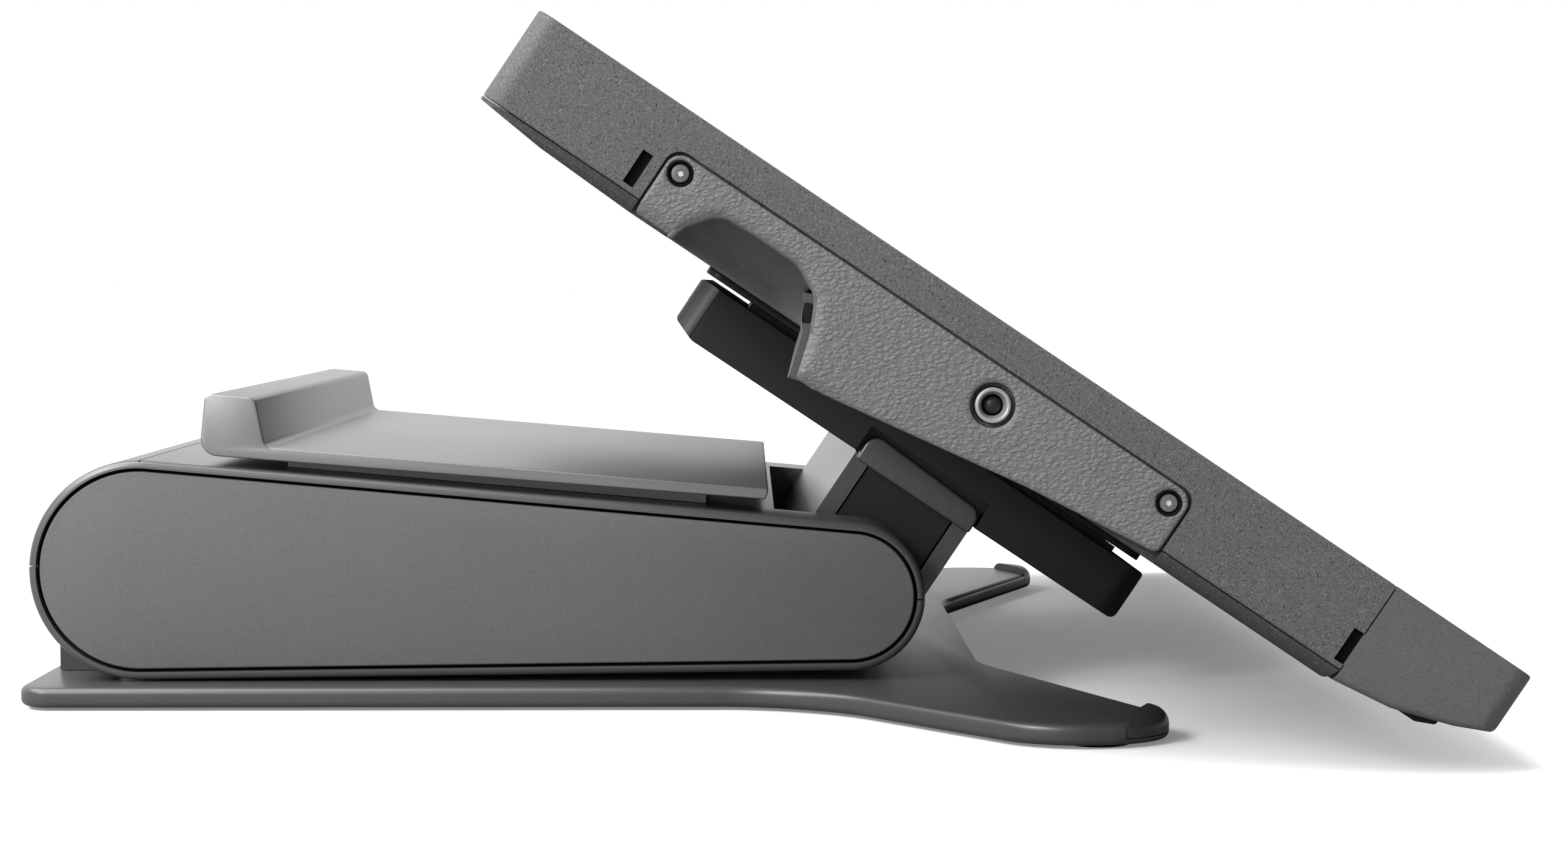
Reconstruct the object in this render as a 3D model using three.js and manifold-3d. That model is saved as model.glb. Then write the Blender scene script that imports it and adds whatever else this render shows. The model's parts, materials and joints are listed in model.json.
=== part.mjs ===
// A pen drawing tablet on a heavy lifting stand, built as separate pieces.
// Millimetres, +Z up, +X to the user's right, -Y towards the user.
// Side outlines of the display are drawn as [distance from its rear edge, depth below its glass].
import * as THREE from 'three';
import * as BufferGeometryUtils from 'three/addons/utils/BufferGeometryUtils.js';
import Module from 'manifold-3d';

const wasm = await Module();
wasm.setup();

// ---------------------------------------------------------------- driving dimensions
const GAP = 0.3;                     // space kept between touching pieces
const DISPLAY_WIDTH = 769;
const DISPLAY_LENGTH = 465.5;        // along the screen, rear edge to front edge
const TILT = THREE.MathUtils.degToRad(33.8);
const REAR_TOP_EDGE = { y: 80.5, z: 297.4 };

const BASE = { rear: 329.5, halfWidth: 211, front: -111, bottom: 1.5, top: 10.6, edge: 3, corner: 14 };
const LEG = { flank: 12, flare: [264, -71], shin: [304, -105], tip: [320, -119], end: -181, crotch: 144 };
const LEG_CAP = { from: -154, bottom: 4, top: 14.3, edge: 2.2 };
const FOOT_HEIGHT = 1.2;
const FOOT_PAD = { radius: 15, x: 296, y: -146 };
const FOOT_BAR = { x: [110, 198], y: [292, 316], corner: 8 };

const REAR_PIVOT = { y: 277.5, z: 61.6, radius: 50.2, shaft: 9 };
const FRONT_PIVOT = { y: -46.8, z: 49.2, radius: 34, shaft: 8 };
const ARM = { halfWidth: 191.6, rim: 3.6, groove: 1.5, shoulder: 3 };
const FORK = { halfWidth: 152, wall: 2.5, wellRadius: 34.8 };
const SPINE = { inner: 124, outer: 130, rear: 30, front: 20, forward: { y: 14, z: 52 }, bridge: [100, 170] };
const SPRING = { turns: 6, stepsPerTurn: 8, coil: 18, wire: 2.2, from: 30, length: 70 };
const PEDESTAL = { inner: 140, outer: 154, rear: 322.7, front: 298, boss: 15, heel: 21, toe: 8, clear: 2 };
const CRANK_ANGLE = THREE.MathUtils.degToRad(62);
const CRANK = { length: 18, pin: 3, eye: 6, rod: [157, 161], web: [162.5, 166.5] };

const TRAY = { halfWidth: 187, rear: 220.5, rearTop: 117.7, front: -9.4, frontTop: 98.6, thick: 5.2 };
const TRAY_RIB = { x: 150, half: 7, from: 20, to: 215 };

const CASE = { front: 399.1, bottom: 39.3, wall: 8, top: 3, corner: 10, edge: 1.2 };
const COVER = { bottom: 45.4, inside: 42.6, wall: 10, fillet: 6 };
const FRONT_CAP_WALL = 6;
const BUMPER = { inner: 352, outer: 376 };
const SIDE_SLOT = { along: [[63.4, 68], [394.7, 400]], depth: [22.4, 36.9], deep: 3 };
const GLASS = { halfWidth: 292, rear: 22, front: 385, thick: 2.2 };
const PANEL = { halfWidth: 266, rear: 34, front: 373, top: 3.6, bottom: 17 };
const GRIP = { rear: 72.5, front: 315.8, top: 14.3, corner: 6.5, seam: 0.7, inner: 322, skin: 4.2, proud: 0.3 };
const MOUNT = { rear: 106, front: 357, halfWidth: 158, housing: [52.6, 79.6] };
const MOUNT_PLATE = { front: 350, top: 45.7, bottom: 49.3, corner: 8 };
const NECK = { halfWidth: 138, along: [132, 340], wall: 8, floor: 4 };
const KNUCKLE = { halfWidth: 149, radius: 32.5, seam: 23.6, top: 79.9 };
const CAP = { rear: 212.5, front: 276, top: 68, bottom: 82.6, inner: 149.3, outer: 158.9 };
const KEY = { count: 5, width: 34, length: 14, pitch: 19, first: 158, across: 338, proud: 0.6, thick: 3 };
const RING = { across: 338, along: 98, outer: 24, inner: 15, depth: 1.2 };
const TOGGLE = { count: 3, radius: 4, pitch: 18, across: 302.5, proud: 0.6, thick: 3 };
const SOCKET = { along: 229.8, depth: 29.1, ring: 7, room: 7.4, hole: 4.2, dimple: 8.8 };

// The finger scoop in each grip, with room for the release lever on its front wall.
const SCOOP = [[91.1, 47], [93.5, 38, 4], [102, 27.2, 8], [116.5, 26.2, 6], [137.6, 26.4, 8], [149.3, 32.8, 4],
  [155.8, 45.7], [161.2, 66], [91.1, 66]];
const LEVER = [[144.9, 33.8], [149, 31.6], [159, 44.6], [166.4, 61.4], [158.3, 64.6], [153, 46.6]];
const LEVER_ROOM = [[146.6, 31.2], [152, 28.6], [166, 41], [177, 60], [176, 67], [160.5, 67], [154.8, 47]];
const SCOOP_INNER = 336;
const SCOOP_WALL = 2.4;

// The front pivot, seen from the display: distance from the rear edge and depth below the glass.
const PIVOT_ON_DISPLAY = toDisplay(FRONT_PIVOT);

// ---------------------------------------------------------------- helpers
function toDisplay(point) {
  const dy = point.y - REAR_TOP_EDGE.y;
  const dz = point.z - REAR_TOP_EDGE.z;
  return {
    along: -dy * Math.cos(TILT) - dz * Math.sin(TILT),
    depth: dy * Math.sin(TILT) - dz * Math.cos(TILT),
  };
}

function solid(geometry) {
  const bare = geometry.clone();
  bare.deleteAttribute('normal');
  bare.deleteAttribute('uv');
  const merged = BufferGeometryUtils.mergeVertices(bare, 1e-4);
  return new wasm.Manifold(new wasm.Mesh({
    numProp: 3,
    vertProperties: new Float32Array(merged.attributes.position.array),
    triVerts: new Uint32Array(merged.index.array),
  }));
}

function geometryOf(manifold) {
  const mesh = manifold.getMesh();
  const geometry = new THREE.BufferGeometry();
  geometry.setAttribute('position', new THREE.BufferAttribute(new Float32Array(mesh.vertProperties), 3));
  geometry.setIndex(new THREE.BufferAttribute(new Uint32Array(mesh.triVerts), 1));
  geometry.computeVertexNormals();
  return geometry;
}

function piece(name, shape, finish) {
  const geometry = shape.isBufferGeometry ? shape : geometryOf(shape);
  const mesh = new THREE.Mesh(geometry, finish);
  mesh.name = name;
  return mesh;
}

function finish(color, roughness, metalness = 0) {
  return new THREE.MeshStandardMaterial({ color, roughness, metalness });
}

function box(x0, x1, y0, y1, z0, z1) {
  const geometry = new THREE.BoxGeometry(x1 - x0, y1 - y0, z1 - z0);
  geometry.translate((x0 + x1) / 2, (y0 + y1) / 2, (z0 + z1) / 2);
  return solid(geometry);
}

// A cylinder along X.
function barrel(radius, x0, x1, y, z, sides = 32) {
  const geometry = new THREE.CylinderGeometry(radius, radius, x1 - x0, sides);
  geometry.rotateZ(Math.PI / 2);
  geometry.translate((x0 + x1) / 2, y, z);
  return solid(geometry);
}

// A cylinder along Z.
function column(radius, z0, z1, x, y, sides = 32) {
  const geometry = new THREE.CylinderGeometry(radius, radius, z1 - z0, sides);
  geometry.rotateX(Math.PI / 2);
  geometry.translate(x, y, (z0 + z1) / 2);
  return solid(geometry);
}

function extrude(shape, length, bevel, curveSegments, bevelSegments = 1) {
  return new THREE.ExtrudeGeometry(shape, {
    depth: length - 2 * bevel,
    bevelEnabled: bevel > 0,
    bevelThickness: bevel,
    bevelSize: bevel,
    bevelOffset: -bevel,
    bevelSegments,
    curveSegments,
  }).translate(0, 0, bevel);
}

// A side outline, drawn in Y and Z, extruded along X.
function sideways(shape, x0, x1, bevel = 0, curveSegments = 12, bevelSegments = 1) {
  const geometry = extrude(shape, x1 - x0, bevel, curveSegments, bevelSegments);
  const turn = new THREE.Matrix4().makeBasis(
    new THREE.Vector3(0, 1, 0), new THREE.Vector3(0, 0, 1), new THREE.Vector3(1, 0, 0));
  geometry.applyMatrix4(turn);
  geometry.translate(x0, 0, 0);
  return solid(geometry);
}

// A plan outline, drawn in X and Y, extruded along Z.
function upright(shape, z0, z1, bevel = 0, curveSegments = 12) {
  const geometry = extrude(shape, z1 - z0, bevel, curveSegments);
  geometry.translate(0, 0, z0);
  return solid(geometry);
}

// A closed outline through points, with the corners rounded where a radius is given.
function outline(points) {
  const corners = points.map(([x, y, radius = 0]) => ({ at: new THREE.Vector2(x, y), radius }));
  const shape = new THREE.Shape();
  corners.forEach((corner, index) => {
    const before = corners[(index + corners.length - 1) % corners.length].at;
    const after = corners[(index + 1) % corners.length].at;
    const room = 0.49 * Math.min(before.distanceTo(corner.at), after.distanceTo(corner.at));
    const radius = Math.min(corner.radius, room);
    const start = corner.at.clone().add(before.clone().sub(corner.at).setLength(radius));
    const end = corner.at.clone().add(after.clone().sub(corner.at).setLength(radius));
    if (index === 0) {
      shape.moveTo(start.x, start.y);
    } else {
      shape.lineTo(start.x, start.y);
    }
    if (radius > 0) {
      shape.quadraticCurveTo(corner.at.x, corner.at.y, end.x, end.y);
    }
  });
  shape.closePath();
  return shape;
}

// The display's side outlines are given as [along, depth], which are -Y and -Z in its own frame.
function displayOutline(points) {
  return outline(points.map(([along, depth, radius = 0]) => [-along, -depth, radius]));
}

function displayBox(x0, x1, along0, along1, depth0, depth1) {
  return box(x0, x1, -along1, -along0, -depth1, -depth0);
}

function roundedRectangle(x0, x1, y0, y1, radius) {
  return outline([[x0, y0, radius], [x1, y0, radius], [x1, y1, radius], [x0, y1, radius]]);
}

// Two circles joined by their outer tangents, the outline of the arm and of its links.
function belt(rear, rearRadius, front, frontRadius) {
  const heading = Math.atan2(front.z - rear.z, front.y - rear.y);
  const distance = Math.hypot(front.y - rear.y, front.z - rear.z);
  const lean = Math.acos((rearRadius - frontRadius) / distance);
  const shape = new THREE.Shape();
  shape.absarc(rear.y, rear.z, rearRadius, heading + lean, heading - lean + 2 * Math.PI, false);
  shape.absarc(front.y, front.z, frontRadius, heading - lean, heading + lean, false);
  shape.closePath();
  return shape;
}

function armBelt(inset) {
  return belt(REAR_PIVOT, REAR_PIVOT.radius - inset, FRONT_PIVOT, FRONT_PIVOT.radius - inset);
}

// The same piece on the other side of the object.
function mirrored(manifold) {
  return manifold.mirror([1, 0, 0]);
}

function pair(name, rightSolid, material) {
  return [piece(`${name}_left`, mirrored(rightSolid), material), piece(`${name}_right`, rightSolid, material)];
}

// ---------------------------------------------------------------- finishes
const standPaint = () => finish(0x3f4043, 0.42, 0.3);
const armPaint = () => finish(0x46474a, 0.5, 0.3);
const castPaint = () => finish(0x3a3b3d, 0.6, 0.3);
const coverPaint = () => finish(0x58595c, 0.48, 0.3);
const trayPaint = () => finish(0x85868a, 0.38, 0.6);
const steel = () => finish(0x9a9ca0, 0.3, 0.9);
const blackPlastic = () => finish(0x1c1c1e, 0.5);
const knucklePlastic = () => finish(0x363638, 0.5);
const casePlastic = () => finish(0x5a5b5d, 0.6);
const capPlastic = () => finish(0x5f6062, 0.55);
const gripSkin = () => finish(0x6b6c6e, 0.65);
const rubber = () => finish(0x141414, 0.9);
const keyPlastic = () => finish(0x1f2023, 0.4);

// ---------------------------------------------------------------- base
// The plan of the base: a plate with two splayed legs in front.
function basePlan() {
  const { rear, halfWidth, front, corner } = BASE;
  const half = new THREE.Path();
  half.moveTo(0, rear);
  half.lineTo(halfWidth - corner, rear);
  half.quadraticCurveTo(halfWidth, rear, halfWidth, rear - corner);
  half.lineTo(halfWidth, LEG.flank);
  half.bezierCurveTo(halfWidth, LEG.flank - 37, 230, -42, ...LEG.flare);
  half.lineTo(...LEG.shin);
  half.quadraticCurveTo(...LEG.tip, 318, -140);
  half.quadraticCurveTo(315, -163, 303, -173);
  half.quadraticCurveTo(293, LEG.end, 277, -171);
  half.lineTo(LEG.crotch, front - 7);
  half.quadraticCurveTo(LEG.crotch - 16, front, LEG.crotch - 32, front);
  const right = half.getPoints(5);
  const left = right.slice(1).reverse().map((point) => new THREE.Vector2(-point.x, point.y));
  return new THREE.Shape([...right, ...left]);
}

// The space of one leg's tip, above a height.
function tipSpace(from, bottom) {
  return box(0, LEG.tip[0] + 10, LEG.end - 10, from, bottom, LEG_CAP.top + 10);
}

function basePlate() {
  const plate = upright(basePlan(), BASE.bottom, BASE.top, BASE.edge);
  return plate.subtract(bothSides(tipSpace(LEG_CAP.from, LEG_CAP.bottom)));
}

function legCaps() {
  const cap = upright(basePlan(), BASE.bottom, LEG_CAP.top, LEG_CAP.edge)
    .intersect(tipSpace(LEG_CAP.from - GAP, LEG_CAP.bottom + GAP));
  return pair('leg_cap', cap, blackPlastic());
}

function footPads() {
  const tip = column(FOOT_PAD.radius, 0, FOOT_HEIGHT, FOOT_PAD.x, FOOT_PAD.y, 20);
  const bar = upright(roundedRectangle(...FOOT_BAR.x, ...FOOT_BAR.y, FOOT_BAR.corner), 0, FOOT_HEIGHT, 0, 4);
  return [...pair('foot_pad_front', tip, rubber()), ...pair('foot_pad_rear', bar, rubber())];
}

function pedestal() {
  const { inner, outer, rear, front, boss, heel, toe } = PEDESTAL;
  const foot = BASE.top + GAP;
  const shape = outline([
    [front, foot], [rear, foot], [rear, foot + heel, 10],
    [REAR_PIVOT.y + boss * 0.8, REAR_PIVOT.z + boss * 0.6],
    [REAR_PIVOT.y - boss * 0.8, REAR_PIVOT.z - boss * 0.6], [front, foot + toe, 12],
  ]);
  return sideways(shape, inner, outer, 0, 5)
    .add(barrel(boss, inner, outer, REAR_PIVOT.y, REAR_PIVOT.z, 28))
    .subtract(barrel(REAR_PIVOT.shaft + GAP, inner - 1, outer + 1, REAR_PIVOT.y, REAR_PIVOT.z, 24));
}

// A shaft with a crank web and pin at each end. The level rods join the two shafts.
function crankedShaft(pivot) {
  const [webIn, webOut] = CRANK.web;
  const pin = crankPin(pivot);
  let shaft = barrel(pivot.shaft, -webOut, webOut, pivot.y, pivot.z, 24);
  for (const side of [-1, 1]) {
    const x0 = side > 0 ? webIn : -webOut;
    const x1 = side > 0 ? webOut : -webIn;
    shaft = shaft.add(sideways(belt(pivot, 12, pin, CRANK.eye), x0, x1, 0, 8));
    const p0 = side > 0 ? CRANK.rod[0] : -webIn - 1;
    const p1 = side > 0 ? webIn + 1 : -CRANK.rod[0];
    shaft = shaft.add(barrel(CRANK.pin, p0, p1, pin.y, pin.z, 12));
  }
  return shaft;
}

function crankPin(pivot) {
  return {
    y: pivot.y + CRANK.length * Math.cos(CRANK_ANGLE),
    z: pivot.z + CRANK.length * Math.sin(CRANK_ANGLE),
  };
}

function levelRod() {
  const rear = crankPin(REAR_PIVOT);
  const front = crankPin(FRONT_PIVOT);
  const [x0, x1] = CRANK.rod;
  return sideways(belt(rear, CRANK.eye, front, CRANK.eye), x0, x1, 0, 8)
    .subtract(barrel(CRANK.pin + 0.4, x0 - 1, x1 + 1, rear.y, rear.z, 14))
    .subtract(barrel(CRANK.pin + 0.4, x0 - 1, x1 + 1, front.y, front.z, 14));
}

// ---------------------------------------------------------------- arm
// A block that fills the space above or below the arm's centre line.
function halfSpace(side) {
  const slope = Math.atan2(REAR_PIVOT.z - FRONT_PIVOT.z, REAR_PIVOT.y - FRONT_PIVOT.y);
  const geometry = new THREE.BoxGeometry(600, 800, 200);
  geometry.translate(0, 0, side * (100 + GAP / 2));
  geometry.rotateX(slope);
  geometry.translate(0, REAR_PIVOT.y, REAR_PIVOT.z);
  return solid(geometry);
}

function armBody() {
  const { halfWidth, rim, shoulder } = ARM;
  const { y, z } = FRONT_PIVOT;
  const inner = FORK.halfWidth;
  const outer = inner + FORK.wall;
  const wellOuter = FORK.wellRadius + FORK.wall;
  const whole = sideways(armBelt(0), -halfWidth, halfWidth, shoulder, 18, 2);
  let body = whole.subtract(sideways(armBelt(rim), -halfWidth - 1, halfWidth + 1, 0, 18));
  // Cheeks of the fork and the rear wall of its well, cut to the arm's outline.
  let walls = box(-outer, outer, y - 60, y, 0, 120).add(barrel(wellOuter, -outer, outer, y, z, 40))
    .add(box(-outer, outer, y - 1, y + wellOuter, z, 120));
  walls = walls.intersect(sideways(armBelt(1), -outer, outer, 0, 18));
  body = body.add(walls);
  const well = box(-inner, inner, y - 60, y, 0, 120).add(barrel(FORK.wellRadius, -inner, inner, y, z, 40))
    .add(box(-inner, inner, y - 1, y + FORK.wellRadius, z, 120));
  body = body.subtract(well);
  body = body.subtract(barrel(FRONT_PIVOT.shaft + 0.5, -outer - 1, outer + 1, y, z, 24));
  // Slots that let the arm swing past the pedestals.
  for (const side of [-1, 1]) {
    body = body.subtract(pedestalSlot(side));
  }
  return body;
}

function pedestalSlot(side) {
  const { inner, outer, clear } = PEDESTAL;
  const from = THREE.MathUtils.degToRad(-70);
  const to = THREE.MathUtils.degToRad(36);
  const reach = REAR_PIVOT.radius + 15;
  const shape = new THREE.Shape();
  shape.moveTo(REAR_PIVOT.y, REAR_PIVOT.z);
  shape.lineTo(REAR_PIVOT.y + reach * Math.cos(from), REAR_PIVOT.z + reach * Math.sin(from));
  shape.absarc(REAR_PIVOT.y, REAR_PIVOT.z, reach, from, to, false);
  shape.closePath();
  const x0 = side > 0 ? inner - clear : -outer - clear;
  const x1 = side > 0 ? outer + clear : -inner + clear;
  return sideways(shape, x0, x1, 0, 10);
}

function armSideCover() {
  const inset = ARM.rim + ARM.groove;
  return sideways(armBelt(inset), ARM.halfWidth - 4, ARM.halfWidth - 0.6, 0.6, 16);
}

function armSpine() {
  const { inner, outer, rear, front, forward, bridge } = SPINE;
  let spine = box(-inner - 2, inner + 2, ...bridge, 44, 48);
  for (const x0 of [-outer, inner]) {
    spine = spine.add(sideways(belt(REAR_PIVOT, rear, forward, front), x0, x0 + outer - inner, 0, 10));
  }
  return spine.subtract(barrel(REAR_PIVOT.shaft + 0.5, -outer - 1, outer + 1, REAR_PIVOT.y, REAR_PIVOT.z, 24));
}

// A coil spring round the rear shaft.
function counterbalanceSpring() {
  const { turns, stepsPerTurn, coil, wire, from, length } = SPRING;
  const steps = turns * stepsPerTurn;
  const points = [];
  for (let step = 0; step <= steps; step += 1) {
    const angle = (step / stepsPerTurn) * 2 * Math.PI;
    points.push(new THREE.Vector3(
      from + (length * step) / steps,
      REAR_PIVOT.y + coil * Math.cos(angle),
      REAR_PIVOT.z + coil * Math.sin(angle),
    ));
  }
  const section = new THREE.Shape();
  section.absarc(0, 0, wire, 0, 2 * Math.PI, false);
  return solid(new THREE.ExtrudeGeometry(section, {
    steps,
    curveSegments: 3,
    extrudePath: new THREE.CatmullRomCurve3(points),
  }));
}

function keyboardTray() {
  const { halfWidth, rear, rearTop, front, frontTop, thick } = TRAY;
  const slope = (rearTop - frontTop) / (rear - front);
  const top = (y) => frontTop + (y - front) * slope;
  const armSlope = Math.asin((REAR_PIVOT.radius - FRONT_PIVOT.radius)
    / Math.hypot(REAR_PIVOT.y - FRONT_PIVOT.y, REAR_PIVOT.z - FRONT_PIVOT.z))
    + Math.atan2(REAR_PIVOT.z - FRONT_PIVOT.z, REAR_PIVOT.y - FRONT_PIVOT.y);
  const armTop = (y) => FRONT_PIVOT.z + FRONT_PIVOT.radius / Math.cos(armSlope)
    + (y - FRONT_PIVOT.y) * Math.tan(armSlope);
  const shelf = outline([
    [front, top(front), 1.2], [front + 1.5, top(front) - thick, 1.5],
    [240, top(240) - thick - 1, 7], [250.6, 127, 8], [246, 141.7, 6], [224.8, 140.1, 4], [rear, rearTop, 3],
  ].reverse());
  let tray = sideways(shelf, -halfWidth, halfWidth, 0.5, 6);
  const { x, half, from, to } = TRAY_RIB;
  const rib = outline([
    [from, armTop(from) + GAP], [to, armTop(to) + GAP], [to, top(to) - 1], [from, top(from) - 1],
  ]);
  tray = tray.add(bothSides(sideways(rib, x - half, x + half)));
  return tray;
}

// ---------------------------------------------------------------- knuckle and mount, in the display's frame
function knuckleBody() {
  const { along, depth } = PIVOT_ON_DISPLAY;
  const { halfWidth, radius, top } = KNUCKLE;
  return displayBox(-halfWidth, halfWidth, along - radius, along + radius, top, depth)
    .add(barrel(radius, -halfWidth, halfWidth, -along, -depth, 40))
    .subtract(barrel(FRONT_PIVOT.shaft + 0.5, -halfWidth - 1, halfWidth + 1, -along, -depth, 24));
}

function knucklePieces() {
  const { along } = PIVOT_ON_DISPLAY;
  const { seam, halfWidth } = KNUCKLE;
  const recess = 1.2;
  const slice = (from, to, half) => knuckleBody().intersect(displayBox(-half, half, from, to, 0, 300));
  return [
    piece('knuckle_frame', slice(along - seam, along + seam, halfWidth - recess), castPaint()),
    piece('knuckle_rear_cover', slice(0, along - seam - GAP, halfWidth), knucklePlastic()),
    piece('knuckle_front_cover', slice(along + seam + GAP, 500, halfWidth), knucklePlastic()),
  ];
}

function knuckleCap() {
  const shape = displayOutline([
    [CAP.rear, CAP.top, 8], [CAP.front, CAP.top + 3, 9], [CAP.front, CAP.bottom], [CAP.rear, CAP.bottom],
  ]);
  return sideways(shape, CAP.inner, CAP.outer, 0.8, 5);
}

function mountHousing() {
  const { rear, front, halfWidth, housing } = MOUNT;
  const [top, bottom] = housing;
  const plan = roundedRectangle(-halfWidth, halfWidth, -front, -rear, 12);
  const side = displayOutline([
    [rear, top, 3], [front, top, 3], [front, bottom - 1, 5], [rear + 10, bottom, 4], [rear, bottom - 9, 5],
  ]);
  let block = upright(plan, -bottom, -top, 0, 6).intersect(sideways(side, -halfWidth, halfWidth, 0, 4));
  const neck = NECK.halfWidth - NECK.wall;
  const [neckRear, neckFront] = NECK.along;
  const neckTop = MOUNT_PLATE.bottom + GAP;
  block = block.add(displayBox(-NECK.halfWidth, NECK.halfWidth, neckRear, neckFront, neckTop, top + 1));
  block = block.subtract(
    displayBox(-neck, neck, neckRear + NECK.wall, neckFront - NECK.wall, 0, bottom - NECK.floor));
  for (const side of [-1, 1]) {
    const x0 = side > 0 ? CAP.inner - GAP : -halfWidth - 1;
    const x1 = side > 0 ? halfWidth + 1 : -CAP.inner + GAP;
    block = block.subtract(displayBox(x0, x1, CAP.rear - 2.3, CAP.front + 1.2, CAP.top - 2.3, bottom + 1));
  }
  return block;
}

function mountPlate() {
  const { front, top, bottom, corner } = MOUNT_PLATE;
  const plan = roundedRectangle(-MOUNT.halfWidth, MOUNT.halfWidth, -front, -MOUNT.rear, corner);
  return upright(plan, -bottom, -top, 0, 4);
}

// ---------------------------------------------------------------- display
// Each corner of an outline pushed away from its middle.
function grown(points, grow) {
  const middle = points.reduce(([a, b], [x, y]) => [a + x / points.length, b + y / points.length], [0, 0]);
  return points.map(([x, y, radius]) => {
    const away = new THREE.Vector2(x - middle[0], y - middle[1]).setLength(grow * 1.25);
    return [x + away.x, y + away.y, radius];
  });
}

// The hollow behind each grip's finger opening, and the lever's room, which stays behind the skin.
function scoop(grow, x0, x1) {
  const skin = DISPLAY_WIDTH / 2 - GRIP.skin;
  return sideways(displayOutline(grown(SCOOP, grow)), x0, x1, 0, 3)
    .add(sideways(displayOutline(grown(LEVER_ROOM, grow)), x0, skin, 0, 2));
}

function casePlan(front, rear) {
  const half = DISPLAY_WIDTH / 2;
  return outline([[-half, -front], [half, -front], [half, -rear, CASE.corner], [-half, -rear, CASE.corner]]);
}

function bothSides(cut) {
  return cut.add(mirrored(cut));
}

// The space in the case and the rear cover that each grip fills.
function gripPocket() {
  const half = DISPLAY_WIDTH / 2;
  const { rear, front, top, corner, skin } = GRIP;
  const shape = displayOutline([[rear, top, corner], [front, top, corner], [front, 60], [rear, 60]]);
  const seat = sideways(shape, half - skin, half + 2, 0, 4);
  return bothSides(seat.add(scoop(SCOOP_WALL + GAP, SCOOP_INNER - SCOOP_WALL - GAP, half)));
}

function topCase() {
  const half = DISPLAY_WIDTH / 2;
  const { front, bottom, wall, top } = CASE;
  let shell = upright(casePlan(front, 0), -bottom, 0, CASE.edge, 5);
  shell = shell.subtract(displayBox(-half + wall, half - wall, wall, front + 1, top, bottom + 1));
  const seat = displayBox(-GLASS.halfWidth - GAP, GLASS.halfWidth + GAP,
    GLASS.rear - GAP, GLASS.front + GAP, -1, GLASS.thick + GAP);
  shell = shell.subtract(seat);
  shell = shell.subtract(displayBox(-PANEL.halfWidth + 4, PANEL.halfWidth - 4,
    PANEL.rear + 4, PANEL.front - 4, -1, top + 1));
  shell = shell.subtract(gripPocket());
  const { along, depth, room } = SOCKET;
  shell = shell.subtract(bothSides(barrel(room, half - 20, half, -along, -depth, 20)));
  for (const along of SIDE_SLOT.along) {
    const slot = displayBox(half - SIDE_SLOT.deep, half + 1, ...along, ...SIDE_SLOT.depth);
    shell = shell.subtract(bothSides(slot));
  }
  shell = shell.subtract(bothSides(controlHoles()));
  return shell;
}

function keyShape(along, grow) {
  return roundedRectangle(KEY.across - KEY.width / 2 - grow, KEY.across + KEY.width / 2 + grow,
    -along - KEY.length / 2 - grow, -along + KEY.length / 2 + grow, 2);
}

function controlHoles() {
  let holes = column(RING.outer + GAP, -RING.depth - GAP, 1, RING.across, -RING.along, 28)
    .subtract(column(RING.inner - GAP, -5, 2, RING.across, -RING.along, 28));
  for (let index = 0; index < KEY.count; index += 1) {
    holes = holes.add(upright(keyShape(KEY.first + index * KEY.pitch, GAP), -5, 1, 0, 2));
  }
  for (let index = 0; index < TOGGLE.count; index += 1) {
    const along = RING.along + (index - 1) * TOGGLE.pitch;
    holes = holes.add(column(TOGGLE.radius + GAP, -5, 1, TOGGLE.across, -along, 12));
  }
  return holes;
}

function touchRing() {
  return column(RING.outer, -RING.depth, 0, RING.across, -RING.along, 28)
    .subtract(column(RING.inner, -5, 2, RING.across, -RING.along, 28));
}

function buttons() {
  const made = [];
  for (let index = 0; index < KEY.count; index += 1) {
    const key = upright(keyShape(KEY.first + index * KEY.pitch, 0), KEY.proud - KEY.thick, KEY.proud, 0.4, 2);
    made.push(...pair(`key_${index + 1}`, key, keyPlastic()));
  }
  for (let index = 0; index < TOGGLE.count; index += 1) {
    const along = RING.along + (index - 1) * TOGGLE.pitch;
    const toggle = column(TOGGLE.radius, TOGGLE.proud - TOGGLE.thick, TOGGLE.proud, TOGGLE.across, -along, 12);
    made.push(...pair(`toggle_${index + 1}`, toggle, keyPlastic()));
  }
  return made;
}

function rearCover() {
  const half = DISPLAY_WIDTH / 2;
  const seat = CASE.bottom + GAP;
  const { bottom, inside, wall, fillet } = COVER;
  const side = displayOutline([
    [0, seat], [CASE.front, seat], [CASE.front - 2.5, bottom, 2], [72, bottom, 20], [30, 44, 12], [0, 41, 1],
  ]);
  const across = outline([[-half, 0], [-half, -bottom, fillet], [half, -bottom, fillet], [half, 0]]);
  return sideways(side, -half, half, 0, 4)
    .intersect(upright(casePlan(CASE.front, 0), -60, 0, 0, 5))
    .intersect(lengthwise(across, -CASE.front, 0))
    .subtract(displayBox(-half + wall, half - wall, wall, CASE.front - wall, 0, inside))
    .subtract(gripPocket());
}

function bumperOutline(grow) {
  return displayOutline([
    [430.6 - grow, 34], [430.6 - grow, 39 + grow, 1], [437, 39.8 + grow, 2], [445 + grow, 36.2 + grow, 1],
    [445 + grow, 31.5 - grow],
  ]);
}

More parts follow.
